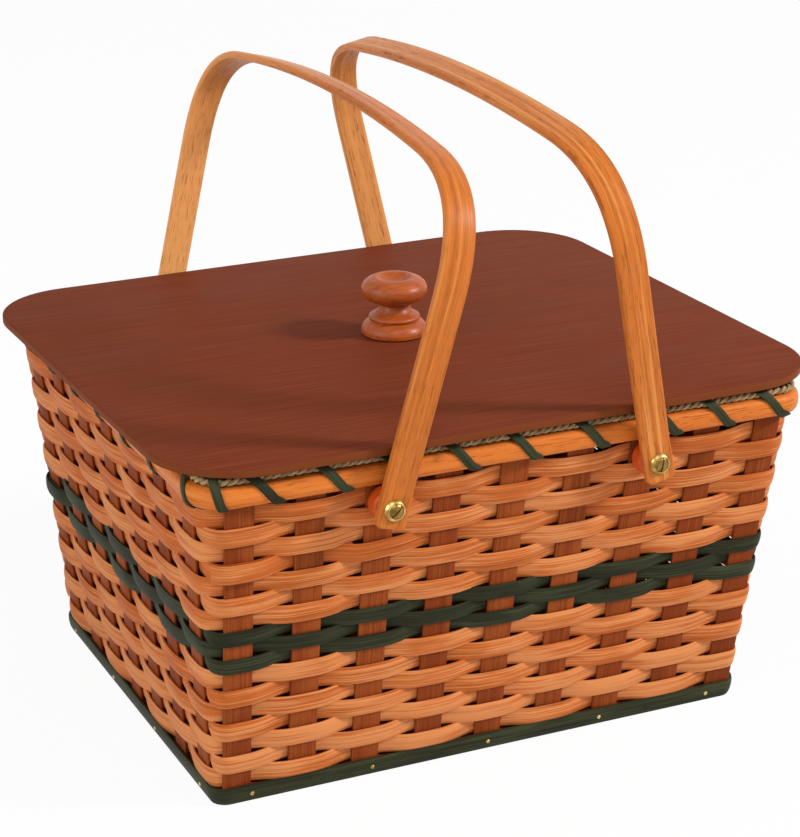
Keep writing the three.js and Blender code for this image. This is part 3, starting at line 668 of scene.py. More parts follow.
class Plan:
    """The middle line of the stakes at one height, walked counterclockwise from the front left."""

    def __init__(self, height):
        self.lift = Vector((0, 0, height))
        rise = height / WEAVE_TOP
        self.radius = lerp(FLOOR_CORNER, MOUTH_CORNER, rise)
        margins = [lerp(low, high, rise) for low, high in zip(FLOOR_MARGINS, MOUTH_MARGINS)]
        band_seat = STAKE_THICKNESS / 2 + SEAT_GAP + BAND_THICKNESS
        climb = (height - BAND_CREST.z) / (STAKE_CREST.z - BAND_CREST.z)
        length = lerp(BAND_CREST.x - band_seat, STAKE_CREST.x - STAKE_THICKNESS / 2, climb)
        depth = lerp(BAND_CREST.y - band_seat, STAKE_CREST.y - STAKE_THICKNESS / 2, climb)
        self.halves = ((length, depth), (depth, length)) * 2
        self.stakes = []
        self.length = 0
        for side, (along, _) in enumerate(self.halves):
            count = SHORT_STAKES if side % 2 else LONG_STAKES
            reach = along - margins[side % 2]
            middle = self.length + along - self.radius
            self.stakes += [middle + reach * (2 * step / (count - 1) - 1) for step in range(count)]
            self.length += 2 * (along - self.radius) + self.arc

    @property
    def arc(self):
        return self.radius * math.pi / 2

    def at(self, distance):
        """A point of the line, and the way out of the wall there."""
        left = distance % self.length
        for (ahead, out), (along, across) in zip(SIDES, self.halves):
            straight = 2 * (along - self.radius)
            if left <= straight:
                return self.lift + out * across + ahead * (left - straight / 2), out
            left -= straight
            if left <= self.arc:
                way = out * math.cos(left / self.radius) + ahead * math.sin(left / self.radius)
                middle = out * (across - self.radius) + ahead * (along - self.radius)
                return self.lift + middle + way * self.radius, way
            left -= self.arc
        return self.at(0)

    def walk(self, straight=16, corner=8):
        """Distances once round from the middle of the back wall, closer together at the corners."""
        distances, start = [], 0
        for along, _ in self.halves:
            run = 2 * (along - self.radius)
            distances += [start + run * step / straight for step in range(straight)]
            distances += [start + run + self.arc * step / corner for step in range(corner)]
            start += run + self.arc
        back = 2 * (straight + corner) + straight // 2
        return distances[back:] + distances[:back]

    def by_stakes(self, place):
        """The point at a place counted in stakes: 2.5 is half way from the third to the fourth."""
        index = math.floor(place) % len(self.stakes)
        start = self.stakes[index]
        last = index + 1 == len(self.stakes)
        end = self.stakes[0] + self.length if last else self.stakes[index + 1]
        return self.at(lerp(start, end, place - math.floor(place)))


# Modelling helpers


def new_bmesh():
    """A bmesh whose points carry the grain: across it, along it and the tone of their strand."""
    bm = bmesh.new()
    bm.verts.layers.float_vector.new("grain")
    return bm


def frames_along(points, outs, closed):
    """Places a section on a line: X across the strip, Y out of it and Z along the line.

    A closed line comes back to its first frame, where the two ends of the strip butt.
    """
    frames = []
    last = len(points) - 1
    for place, (point, out) in enumerate(zip(points, outs)):
        before = points[place - 1] if closed or place > 0 else point
        after = points[(place + 1) % len(points)] if closed or place < last else point
        ahead = (after - before).normalized()
        face = (out - ahead * out.dot(ahead)).normalized()
        turned = Matrix((face.cross(ahead), face, ahead)).transposed().to_4x4()
        frames.append(Matrix.Translation(point) @ turned)
    return frames + frames[:1] if closed else frames


def sweep(bm, section, frames, tone):
    """Extrudes a closed section of (across, out) points from frame to frame, and closes its ends."""
    grain = bm.verts.layers.float_vector["grain"]
    loop = [bm.verts.new(frames[0] @ Vector((across, out, 0))) for across, out in section]
    for vert, (across, out) in zip(loop, section):
        vert[grain] = (across + out, 0, tone)
    first = [bm.edges.new(pair) for pair in zip(loop, loop[1:] + loop[:1])]
    edges = first
    along = 0
    for before, after in pairwise(frames):
        along += (after.translation - before.translation).length
        grown = bmesh.ops.extrude_edge_only(bm, edges=edges)["geom"]
        verts = [item for item in grown if isinstance(item, bmesh.types.BMVert)]
        edges = [item for item in grown if isinstance(item, bmesh.types.BMEdge) and item.is_boundary]
        bmesh.ops.transform(bm, matrix=after @ before.inverted(), verts=verts)
        for vert in verts:
            vert[grain] = (vert[grain].x, along, tone)
    for end in (first, edges):
        bmesh.ops.edgeloop_fill(bm, edges=end)


def bevel_edges(bm, edges, width, segments=2):
    return bmesh.ops.bevel(
        bm,
        geom=list(edges),
        offset=width,
        segments=segments,
        profile=0.5,
        affect="EDGES",
        material=-1,
    )


def turn_profile(bm, profile, place, steps=48):
    """Spins (radius, height) points about Z, then puts the turned shape in its place."""
    before = set(bm.verts)
    line = [bm.verts.new((radius, 0, height)) for radius, height in profile]
    edges = [bm.edges.new(pair) for pair in pairwise(line)]
    bmesh.ops.spin(
        bm,
        geom=line + edges,
        cent=(0, 0, 0),
        axis=(0, 0, 1),
        angle=2 * math.pi,
        steps=steps,
        use_merge=True,
    )
    made = [vert for vert in bm.verts if vert not in before]
    bmesh.ops.remove_doubles(bm, verts=made, dist=MERGE)
    made = [vert for vert in bm.verts if vert not in before]
    bmesh.ops.transform(bm, matrix=place, verts=made)
    return made


def add_piece(name, bm, body, materials, replaced=(), sharp=40):
    """Ends a bmesh as a smooth piece that rides on a body and stands for its solids."""
    bmesh.ops.recalc_face_normals(bm, faces=bm.faces)
    mesh = bpy.data.meshes.new(name)
    bm.to_mesh(mesh)
    bm.free()
    for finish in materials:
        mesh.materials.append(finish)
    mesh.shade_smooth()
    mesh.set_sharp_from_angle(angle=math.radians(sharp))
    piece = bpy.data.objects.new(name, mesh)
    bpy.context.scene.collection.objects.link(piece)
    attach(piece, body)
    if replaced:
        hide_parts(*replaced)
    return piece


def eased_copy(node, width):
    """A copy of a solid with its triangles merged into faces and its edges eased."""
    bm = new_bmesh()
    bm.from_mesh(frame["nodes"][node].data)
    bmesh.ops.remove_doubles(bm, verts=bm.verts, dist=MERGE)
    flat, sharp = math.radians(2), math.radians(50)
    bmesh.ops.dissolve_limit(bm, angle_limit=flat, verts=bm.verts, edges=bm.edges)
    edges = [edge for edge in bm.edges if edge.is_manifold and edge.calc_face_angle() > sharp]
    bevel_edges(bm, edges, width)
    return bm


def rounded_slab(size, corner, corner_steps, ease, ease_steps):
    """A board round the origin, with rounded corners and eased edges."""
    bm = new_bmesh()
    bmesh.ops.create_cube(bm, size=1, matrix=Matrix.Diagonal((*size, 1)))
    upright = [edge for edge in bm.edges if abs(edge.verts[0].co.z - edge.verts[1].co.z) > ease]
    bevel_edges(bm, upright, corner, corner_steps)
    rims = [edge for edge in bm.edges if edge.calc_face_angle() > math.radians(60)]
    bevel_edges(bm, rims, ease, ease_steps)
    return bm


def reed_section(width, thickness, ridges=9):
    """Flat oval reed: a flat back, a crowned face with shallow grooves, and thin rounded edges."""
    edge_drop, fullness = 0.4, 2.6  # how far and how late the face falls off to its edges
    groove_depth = 0.025
    back_width = 0.93
    face = []
    for place in range(ridges + 1):
        across = 2 * place / ridges - 1
        crown = 0.5 - edge_drop * abs(across) ** fullness
        groove = groove_depth if place % 2 else 0
        face.append((across * width / 2, (crown - groove) * thickness))
    back = [(share * width / 2, -thickness / 2) for share in (back_width, 0, -back_width)]
    return face + back


class BasketOperator:
    """What the basket's operators share."""

    bl_options = {"REGISTER", "UNDO"}

    def execute(self, context):
        scene = context.scene
        self.make(scene.basket_sizes, scene.basket_colours)
        return {"FINISHED"}


# Wall


class BASKET_OT_stakes(BasketOperator, bpy.types.Operator):
    """Makes the base board and the upright stakes let into its edge"""

    bl_idname = "basket.stakes"
    bl_label = "Base and Stakes"

    BOARD_HEIGHT = 10 * MM
    BOARD_CORNER = 4 * MM
    BOARD_TONE = 0.3
    EASE = 0.5 * MM
    TONE_SPREAD = 0.8
    TONE_SHIFT = 1.7  # moves each stake's pattern along, so that no two look cut alike

    def make(self, sizes, colours):
        finish = stake_reed(colours)
        draw = random.Random(SEED)
        bm = new_bmesh()
        grain = bm.verts.layers.float_vector["grain"]
        foot, head = Plan(STAKE_FOOT), Plan(STAKE_CREST.z)
        for low, high in zip(foot.stakes, head.stakes):
            start, out = foot.at(low)
            end, _ = head.at(high)
            size = (sizes.stake_width, STAKE_THICKNESS, (end - start).length)
            made = bmesh.ops.create_cube(bm, size=1, matrix=Matrix.Diagonal((*size, 1)))["verts"]
            edges = {edge for vert in made for edge in vert.link_edges}
            made = bevel_edges(bm, edges, self.EASE)["verts"]
            tone = draw.random() * self.TONE_SPREAD
            for vert in made:
                vert[grain] = (vert.co.x, vert.co.z + tone * self.TONE_SHIFT, tone)
            up = (end - start).normalized()
            face = (out - up * out.dot(up)).normalized()
            turn = Matrix((face.cross(up), face, up)).transposed().to_4x4()
            bmesh.ops.transform(bm, matrix=Matrix.Translation((start + end) / 2) @ turn, verts=made)
        add_piece("stakes", bm, "basket", [finish], ["base_and_stakes"])
        self.make_board(finish)

    def make_board(self, finish):
        length, depth = Plan(0).halves[0]
        size = (2 * length - STAKE_THICKNESS, 2 * depth - STAKE_THICKNESS, self.BOARD_HEIGHT)
        bm = rounded_slab(size, self.BOARD_CORNER, 4, self.EASE, 2)
        bmesh.ops.translate(bm, vec=(0, 0, self.BOARD_HEIGHT / 2), verts=bm.verts)
        grain = bm.verts.layers.float_vector["grain"]
        for vert in bm.verts:
            vert[grain] = (vert.co.y, vert.co.x, self.BOARD_TONE)
        add_piece("base_board", bm, "basket", [finish])


class BASKET_OT_band(BasketOperator, bpy.types.Operator):
    """Makes the green band round the foot, and the brads that hold it"""

    bl_idname = "basket.band"
    bl_label = "Base Band"

    TONE = 0.45
    RIDGES = 7
    BRADS = (5, 4)  # on a long and on a short wall
    BRAD_HEIGHT = 0.48  # share of the band's height
    BRAD_END = 22 * MM

    def make(self, sizes, colours):
        height = BAND_CREST.z
        plan = Plan(height / 2)
        places = [plan.at(distance) for distance in plan.walk()]
        middle = STAKE_THICKNESS / 2 + SEAT_GAP + BAND_THICKNESS / 2
        points = [point + out * middle for point, out in places]
        slope = (Plan(height).halves[0][1] - Plan(0).halves[0][1]) / height
        outs = [(out - Vector((0, 0, slope))).normalized() for _, out in places]
        section = reed_section(height, BAND_THICKNESS, self.RIDGES)
        bm = new_bmesh()
        sweep(bm, section, frames_along(points, outs, True), self.TONE)
        add_piece("base_band", bm, "basket", [green_reed(colours)], ["base_band"])
        self.make_brads(sizes, colours)

    def make_brads(self, sizes, colours):
        radius = sizes.brad_size / 2
        plan = Plan(BAND_CREST.z * self.BRAD_HEIGHT)
        face = STAKE_THICKNESS / 2 + SEAT_GAP + BAND_THICKNESS
        profile = [(0, radius * 0.5), (radius * 0.55, radius * 0.4), (radius, 0), (radius, -radius)]
        bm = new_bmesh()
        for side, ((ahead, out), (along, across)) in enumerate(zip(SIDES, plan.halves)):
            count = self.BRADS[side % 2]
            for step in range(count):
                run = (along - self.BRAD_END) * (2 * step / (count - 1) - 1)
                point = plan.lift + out * (across + face) + ahead * run
                turn = out.to_track_quat("Z", "Y").to_matrix().to_4x4()
                turn_profile(bm, profile, Matrix.Translation(point) @ turn, 12)
        add_piece("band_brads", bm, "basket", [plated_brass(colours)])


class BASKET_OT_weavers(BasketOperator, bpy.types.Operator):
    """Weaves the rows of reed over one stake and behind the next, each lapped over its own start"""

    bl_idname = "basket.weavers"
    bl_label = "Weavers"

    LAP = 2  # gaps between stakes over which a row's two ends lie on each other
    LAP_RAMP = 0.6
    BACK_START, BACK_STRIDE, BACK_SPREAD = 17, 3, 7  # stakes of the back wall that hide the starts
    SHOWN_START = {4: 31.62}  # the row whose cut end shows, at the front left corner
    RIDE = 2.8 * MM  # how far the upper rows ride up at that corner
    RIDE_CORNER = 31.5
    RIDE_REACH = 5  # stakes over which they come down again
    RIDE_ROWS = 8  # rows over which the ride grows, from the lowest up
    FIRST_RIDE = 0.6  # share of it that the first row has room for, under the rim
    # Painted shade: the upper rows are given darker tones, as if shaded by the rim and lid above them
    PAINTED_SHADE = 0.45  # how much the rows' tones follow their height, palest at the foot

    def make(self, sizes, colours):
        draw = random.Random(SEED)
        for number, node in enumerate(ROWS, 1):
            green = node in GREEN_ROWS
            width = sizes.green_width if green else sizes.weaver_width
            frames = self.woven_frames(sizes, node, number)
            bm = new_bmesh()
            tone = lerp(draw.random(), number / len(ROWS), self.PAINTED_SHADE)
            sweep(bm, reed_section(width, sizes.weaver_thickness), frames, tone)
            finish = green_reed(colours) if green else honey_reed(colours)
            add_piece(f"reed_{node}", bm, "basket", [finish], [node])

    def start_of(self, number):
        """Where a row starts, counted in stakes: behind one of the back wall's, if it doesn't show."""
        hidden = self.BACK_START + number * self.BACK_STRIDE % self.BACK_SPREAD
        return self.SHOWN_START.get(number, hidden + (hidden + number + 1) % 2)

    def ride_of(self, number, place, count):
        """How far a row rides up at a place."""
        away = abs((place - self.RIDE_CORNER + count / 2) % count - count / 2)
        grown = min((len(ROWS) - number) / self.RIDE_ROWS, 1) if number > 1 else self.FIRST_RIDE
        return self.RIDE * grown * max(1 - away / self.RIDE_REACH, 0)

    def woven_frames(self, sizes, node, number):
        low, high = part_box(node)
        lower, upper = Plan(low.z), Plan(high.z)
        count = len(lower.stakes)
        layer = sizes.weaver_thickness / 2
        points, outs = [], []
        for step in range((count + self.LAP) * WEAVE_STEPS + 1):
            run = step / WEAVE_STEPS
            place = self.start_of(number) + run
            foot, out = lower.by_stakes(place)
            head, _ = upper.by_stakes(place)
            up = (head - foot).normalized()
            face = (out - up * out.dot(up)).normalized()
            wave = math.cos(math.pi * (place + number))
            wave *= 1.5 - 0.5 * wave * wave  # flat over the stakes
            start_lap = 1 - eased((run - self.LAP) / self.LAP_RAMP)
            end_lap = eased((run - count) / self.LAP_RAMP + 1)
            swing = sizes.weave_swing + layer * (start_lap + end_lap)
            lift = wave * swing + layer * (start_lap - end_lap)
            rise = self.ride_of(number, place, count) - sizes.weave_droop * wave
            points.append((foot + head) / 2 + face * lift + up * rise)
            outs.append(face)
        return frames_along(points, outs, False)


# Rim


class BASKET_OT_rim(BasketOperator, bpy.types.Operator):
    """Makes the two half-oval rim hoops that clamp the tops of the stakes"""

    bl_idname = "basket.rim"
    bl_label = "Rim Hoops"

    FULLNESS = 2.7  # how square the half oval is
    ARC_STEPS = 12
    HOOPS = (("rim_outer", 1, 0.35), ("rim_inner", -1, 0.7))  # side of the stakes, and tone

    def make(self, sizes, colours):
        height = RIM_HIGH - RIM_LOW
        plan = Plan((RIM_LOW + RIM_HIGH) / 2)
        places = [plan.at(distance) for distance in plan.walk()]
        frames = frames_along([point for point, _ in places], [out for _, out in places], True)
        for name, sign, tone in self.HOOPS:
            section = []
            for place in range(self.ARC_STEPS + 1):
                angle = math.pi * (place / self.ARC_STEPS - 0.5)
                across = math.copysign(abs(math.sin(angle)) ** (2 / self.FULLNESS), angle)
                out = abs(math.cos(angle)) ** (2 / self.FULLNESS)
                section.append((across * height / 2, sign * (RIM_SEAT + out * RIM_THICKNESS)))
            bm = new_bmesh()
            sweep(bm, section, frames, tone)
            add_piece(f"{name}_hoop", bm, "basket", [rim_oak(colours)], [name])


class BASKET_OT_filler(BasketOperator, bpy.types.Operator):
    """Twists the seagrass cord that fills the groove on top of the rim"""

    bl_idname = "basket.filler"
    bl_label = "Seagrass Filler"

    TURN_STEPS = 8
    STRAND_SIDES = 7
    STRAND_SHARE = 0.54  # radius of a strand, as a share of the cord's
    SEAM = 0.6  # where the cord's ends meet, at the back, as a share of the way round

    def make(self, sizes, colours):
        radius = (FILLER_HIGH - FILLER_LOW) / 2
        strand = radius * self.STRAND_SHARE
        plan = Plan((FILLER_LOW + FILLER_HIGH) / 2)
        turns = round(plan.length / sizes.cord_twist)
        steps = turns * self.TURN_STEPS
        corners = [2 * math.pi * side / self.STRAND_SIDES for side in range(self.STRAND_SIDES)]
        section = [(strand * math.sin(angle), strand * math.cos(angle)) for angle in corners]
        for number in range(sizes.cord_strands):
            points, outs = [], []
            for step in range(steps):
                middle, out = plan.at(plan.length * (self.SEAM + step / steps))
                angle = 2 * math.pi * (step / self.TURN_STEPS + number / sizes.cord_strands)
                way = out * math.cos(angle) + Vector((0, 0, math.sin(angle)))
                points.append(middle + way * (radius - strand))
                outs.append(way)
            bm = new_bmesh()
            tone = (number + 0.5) / sizes.cord_strands
            sweep(bm, section, frames_along(points, outs, True), tone)
            name = f"seagrass_strand_{number + 1}"
            add_piece(name, bm, "basket", [seagrass(colours)], ["rim_filler"])


class BASKET_OT_lashing(BasketOperator, bpy.types.Operator):
    """Winds the green strip round the rim, about once for each gap between stakes"""

    bl_idname = "basket.lashing"
    bl_label = "Rim Lashing"

    WRAP_STEPS = 10  # cross sections in half a turn
    # Where each turn passes under the rim, counted in stakes, wound by hand and so not evenly
    FRONT_TURNS = [0.54, 1.5, 2.42, 3.35, 4.28, 5.32, 6.47, 7.32, 8.2]
    HIDDEN_TURNS = [stake + 0.45 for stake in range(9, 25)]
    LEFT_TURNS = [stake + 0.25 for stake in range(25, 31)]
    SLANT = 0.5  # stakes that a turn moves on from the top of the rim to the bottom
    CORNER_TURNS = [(31.13, 31.39), (31.65, 31.78)]  # steeper, from top to bottom
    UNDER = 0.25  # share of a half turn that passes straight under the rim
    TOP_FULLNESS = 2.0  # over the cord the strip bows
    SIDE_FULLNESS = 3.4  # under the rim it turns a squarer corner
    STAND = 0.55 * MM  # clear of what it is wound on, to the strip's middle
    SLOT_ROOM = 0.9 * MM
    TONE = 0.6

    def winding(self, count):
        """Places along the rim, with the angle from its top that the strip has come round to."""
        lows = self.FRONT_TURNS + self.HIDDEN_TURNS + self.LEFT_TURNS
        turns = [(low - self.SLANT, low) for low in lows] + self.CORNER_TURNS
        tops = [top for top, _ in turns[1:]] + [turns[0][0] + count]
        for (top, low), following in zip(turns, tops):
            for step in range(self.WRAP_STEPS):
                share = step / self.WRAP_STEPS
                yield lerp(top, low, min(share / (1 - self.UNDER), 1)), math.pi * share
            for step in range(self.WRAP_STEPS):
                share = step / self.WRAP_STEPS
                moved = max(share - self.UNDER, 0) / (1 - self.UNDER)
                yield lerp(low, following, moved), math.pi * (1 + share)

    def make(self, sizes, colours):
        half_out = RIM_SEAT + RIM_THICKNESS + self.STAND
        low, high = RIM_LOW - self.SLOT_ROOM, FILLER_HIGH + self.STAND
        middle = (RIM_LOW + RIM_HIGH) / 2
        plan = Plan(middle)
        points, outs = [], []
        for place, angle in self.winding(len(plan.stakes)):
            rise, reach = math.cos(angle), math.sin(angle)
            fullness = self.TOP_FULLNESS if rise > 0 else self.SIDE_FULLNESS
            half = high - middle if rise > 0 else middle - low
            lift = math.copysign(abs(rise) ** (2 / fullness), rise) * half
            away = math.copysign(abs(reach) ** (2 / fullness), reach) * half_out
            point, out = plan.by_stakes(place)
            points.append(point + out * away + Vector((0, 0, lift)))
            outs.append(out * (reach / half_out) + Vector((0, 0, rise / half)))
        half_width, half_thick = sizes.lashing_width / 2, sizes.lashing_thickness / 2
        section = [
            (-half_width, -half_thick),
            (-half_width, half_thick * 0.4),
            (-half_width * 0.8, half_thick),
            (half_width * 0.8, half_thick),
            (half_width, half_thick * 0.4),
            (half_width, -half_thick),
        ]
        bm = new_bmesh()
        sweep(bm, section, frames_along(points, outs, True), self.TONE)
        finish = green_reed(colours)
        add_piece("lashing_strip", bm, "basket", [finish], ["rim_lashing"], sharp=60)


# Handles and their pivots


def bezier(points, steps):
    """Points of a Bezier curve with any number of control points."""
    line = []
    for step in range(steps + 1):
        share = step / steps
        row = list(points)
        while len(row) > 1:
            row = [a.lerp(b, share) for a, b in pairwise(row)]
        line.append(row[0])
    return line


def strap_line(half_span):
    """The strap's middle line in its own plane, from the front tail over the crown to the back."""
    shoulder = Vector((0, half_span + SHOULDER_SPREAD, SHOULDER_RISE))
    heel = Vector((0, half_span, STRAP_HEEL))
    crown_end = Vector((0, CROWN_HALF, HANDLE_RISE - CROWN_ARCH))
    crown_peak = Vector((0, 0, HANDLE_RISE + CROWN_ARCH))
    leg_way = (shoulder - heel).normalized()
    crown_way = (crown_end - crown_peak).normalized()
    tail = Vector((0, half_span, -STRAP_TAIL))
    leg = bezier([tail, heel], TAIL_STEPS) + bezier([heel, shoulder], LEG_STEPS)[1:]
    pulls = [shoulder + leg_way * BEND_PULL, crown_end + crown_way * BEND_PULL]
    half = leg + bezier([shoulder, *pulls, crown_end], BEND_STEPS)[1:]
    flip = Matrix.Diagonal((1, -1, 1))
    crown = bezier([crown_end, crown_peak, flip @ crown_end], CROWN_STEPS)
    line = half + crown[1:-1] + [flip @ point for point in reversed(half)]
    return [flip @ point for point in line]


class BASKET_OT_handles(BasketOperator, bpy.types.Operator):
    """Bends the two oak straps and hangs them on their pivots"""

    bl_idname = "basket.handles"
    bl_label = "Handles"

    EASE = 1.5 * MM
    EASE_STEPS = 4
    END_ROUND = 3 * MM
    END_SHARES = (0, 0.3, 0.65, 1)
    END_NARROWING = 0.26
    # Each strap's tone; a low tone also gives its back leg more painted light
    TONES_AND_PAINTED_LIGHT = {"left": 0.1, "right": 0.55}

    def make(self, sizes, colours):
        for side, tone in self.TONES_AND_PAINTED_LIGHT.items():
            node = f"handle_{side}"
            inner = abs(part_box(f"pivot_spacer_front_{side}")[0].y) + SEAT_GAP
            line = strap_line(inner + sizes.strap_thickness / 2)
            outs = []
            for place in range(len(line)):
                ahead = line[min(place + 1, len(line) - 1)] - line[max(place - 1, 0)]
                outs.append(ahead.cross(Vector((1, 0, 0))) * -1)
            frames = self.rounded_ends(frames_along(line, outs, False))
            hang = Matrix.Translation(HINGES[f"{side}_handle"]) @ Matrix.Rotation(LEANS[side], 4, "Y")
            bm = new_bmesh()
            sweep(bm, self.section(sizes), [hang @ at for at in frames], tone)
            add_piece(f"bent_{node}", bm, f"{side}_handle", [bent_oak(colours)], [node])

    def section(self, sizes):
        width, thick = sizes.strap_width / 2, sizes.strap_thickness / 2
        points = []
        for x_side, y_side, start in ((1, 1, 0), (-1, 1, 1), (-1, -1, 2), (1, -1, 3)):
            for step in range(self.EASE_STEPS + 1):
                angle = (start + step / self.EASE_STEPS) * math.pi / 2
                x = x_side * (width - self.EASE) + self.EASE * math.cos(angle)
                y = y_side * (thick - self.EASE) + self.EASE * math.sin(angle)
                points.append((x, y))
        return points

    def rounded_ends(self, frames):
        """Draws the strap's width in over its last few millimetres."""
        drawn = []
        for first, last in ((frames[0], frames[1]), (frames[-1], frames[-2])):
            way = (last.translation - first.translation).normalized()
            ends = []
            for share in self.END_SHARES:
                narrow = 1 - self.END_NARROWING * (1 - math.sqrt(1 - (1 - share) ** 2))
                shift = Matrix.Translation(way * self.END_ROUND * share)
                ends.append(shift @ first @ Matrix.Diagonal((narrow, 1, 1, 1)))
            drawn.append(ends)
        start, end = drawn
        return start + frames[2:-2] + end[::-1]


class BASKET_OT_pivots(BasketOperator, bpy.types.Operator):
    """Makes the turned spacers, cup washers and slotted screws that the handles swing on"""

    bl_idname = "basket.pivots"
    bl_label = "Pivots"

    SPACER_ROUND = 3.2 * MM
    SPACER_STEPS = 5
    SLOT_WIDTH = 1.3 * MM
    SLOT_DEPTH = 0.9 * MM
    SHANK = 2.3 * MM
    SHANK_CHAMFER = 0.4 * MM
    HEAD_SEAT = 1.2 * MM  # foot of the head, above the foot of the cup
    HEAD_STEPS = 36
    EASES = {"pivot_washer": 0.25 * MM, "pivot_nut": 0.4 * MM}
    SLOT_TURNS = {"front_left": 42, "front_right": 78, "back_right": 15, "back_left": 120}

    def make(self, sizes, colours):
        for corner, slot_turn in self.SLOT_TURNS.items():
            side = corner.split("_")[1]
            front = corner.startswith("front")
            hinge = HINGES[f"{side}_handle"]
            # Heights are measured out of the wall, from the middle of the basket
            tilt = math.pi / 2 if front else -math.pi / 2
            place = Matrix.Translation(hinge) @ Matrix.Rotation(tilt, 4, "X")
            self.make_spacer(corner, place, colours)
            self.make_cup(corner, place, colours)
            self.make_screw(corner, place, math.radians(slot_turn), colours)
            for kind, ease in self.EASES.items():
                node = f"{kind}_{corner}"
                bm = eased_copy(node, ease)
                add_piece(f"inner_{node}", bm, "basket", [plated_brass(colours)], [node], sharp=30)

    def reach(self, node):
        """How near and how far out of the wall a solid lies, and its radius."""
        low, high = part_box(node)
        ends = sorted((abs(low.y), abs(high.y)))
        return ends[0], ends[1], (high.x - low.x) / 2

    def make_spacer(self, corner, place, colours):
        near, far, radius = self.reach(f"pivot_spacer_{corner}")
        rounding = []
        for step in range(self.SPACER_STEPS + 1):
            angle = math.pi / 2 * step / self.SPACER_STEPS
            inset = self.SPACER_ROUND * (1 - math.sin(angle))
            rounding.append((radius - inset, self.SPACER_ROUND * (1 - math.cos(angle))))
        profile = [(self.SHANK, near)]
        profile += [(out, near + rise) for out, rise in rounding]
        profile += [(out, far - rise) for out, rise in reversed(rounding)]
        profile += [(self.SHANK, far), (self.SHANK, near)]
        bm = new_bmesh()
        turn_profile(bm, profile, place)
        node = f"pivot_spacer_{corner}"
        add_piece(f"turned_{node}", bm, "basket", [spacer_wood(colours)], [node])

    def make_cup(self, corner, place, colours):
        near, far, radius = self.reach(f"cup_washer_{corner}")
        seat = self.reach(f"pivot_screw_{corner}")[2]
        height = far - near
        profile = [
            (self.SHANK, near),
            (radius * 0.97, near),
            (radius, near + height * 0.12),
            (radius * 0.97, near + height * 0.3),
            (lerp(radius, seat, 0.35), near + height * 0.72),
            (lerp(radius, seat, 0.62), near + height * 0.95),
            (lerp(radius, seat, 0.8), far),
            (lerp(radius, seat, 0.94), near + height * 0.94),
            (seat + 0.1 * MM, near + height * 0.7),
            (seat * 0.8, near + height * 0.5),
            (self.SHANK, near + height * 0.45),
            (self.SHANK, near),
        ]
        bm = new_bmesh()
        turn_profile(bm, profile, place)
        node = f"cup_washer_{corner}"
        add_piece(f"brass_{node}", bm, "basket", [plated_brass(colours)], [node])

    def make_screw(self, corner, place, slot_turn, colours):
        near, far, radius = self.reach(f"pivot_screw_{corner}")
        base = self.reach(f"cup_washer_{corner}")[0] + self.HEAD_SEAT
        dome = far - base
        head = [
            (0, far),
            (radius * 0.35, far - dome * 0.03),
            (radius * 0.65, far - dome * 0.14),
            (radius * 0.87, far - dome * 0.33),
            (radius, far - dome * 0.6),
            (radius * 0.98, base),
            (self.SHANK * 0.98, base - 0.05 * MM),
            (self.SHANK * 0.98, near + self.SHANK_CHAMFER),
            (self.SHANK * 0.8, near),
            (0, near),
        ]
        bm = new_bmesh()
        turn_profile(bm, head, Matrix.Identity(4), self.HEAD_STEPS)
        for side in (-1, 1):
            bmesh.ops.bisect_plane(
                bm,
                geom=bm.verts[:] + bm.edges[:] + bm.faces[:],
                plane_co=(0, side * self.SLOT_WIDTH / 2, 0),
                plane_no=(0, 1, 0),
            )
        strip = []
        for face in bm.faces:
            middle = face.calc_center_median()
            if abs(middle.y) < self.SLOT_WIDTH / 2 and middle.z > base + dome * 0.3:
                strip.append(face)
        sunk = bmesh.ops.extrude_face_region(bm, geom=strip)["geom"]
        bmesh.ops.delete(bm, geom=strip, context="FACES_ONLY")
        for vert in (item for item in sunk if isinstance(item, bmesh.types.BMVert)):
            vert.co.z = min(vert.co.z, far - dome * 0.1) - self.SLOT_DEPTH
        turn = place @ Matrix.Rotation(slot_turn, 4, "Z")
        bmesh.ops.transform(bm, matrix=turn, verts=bm.verts)
        node = f"pivot_screw_{corner}"
        add_piece(f"slotted_{node}", bm, "basket", [tarnished_brass(colours)], [node], sharp=35)


# Lid


class BASKET_OT_lid(BasketOperator, bpy.types.Operator):
    """Cuts the plywood lid and fits the cleats under it"""

    bl_idname = "basket.lid"
    bl_label = "Lid"

    EASE = 0.9 * MM
    EASE_STEPS = 3
    CORNER_STEPS = 14
    EDGE_FACING = 0.6  # faces that look up or down less than this are the sawn edge

    def make(self, sizes, colours):
        low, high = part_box("lid_panel")
        middle = (low + high) / 2
        half_depth = (high.y - low.y) / 2 - (high.x - low.x - 2 * LID_CORNER) / 2 * math.sin(LID_TURN)
        half_length = (high.x - low.x) / 2 - (half_depth - LID_CORNER) * math.sin(LID_TURN)
        size = (2 * half_length, 2 * half_depth, high.z - low.z)
        bm = rounded_slab(size, LID_CORNER, self.CORNER_STEPS, self.EASE, self.EASE_STEPS)
        for face in bm.faces:
            face.material_index = 1 if abs(face.normal.z) < self.EDGE_FACING else 0
        place = Matrix.Translation(middle) @ Matrix.Rotation(LID_TURN, 4, "Z")
        bmesh.ops.transform(bm, matrix=place, verts=bm.verts)
        finishes = [stained_ply(colours), ply_edge(colours)]
        add_piece("plywood_lid", bm, "lid", finishes, ["lid_panel"], sharp=50)
        for side in ("left", "right"):
            node = f"lid_cleat_{side}"
            bm = eased_copy(node, self.EASE)
            add_piece(f"eased_{node}", bm, "lid", [stained_ply(colours)], [node])


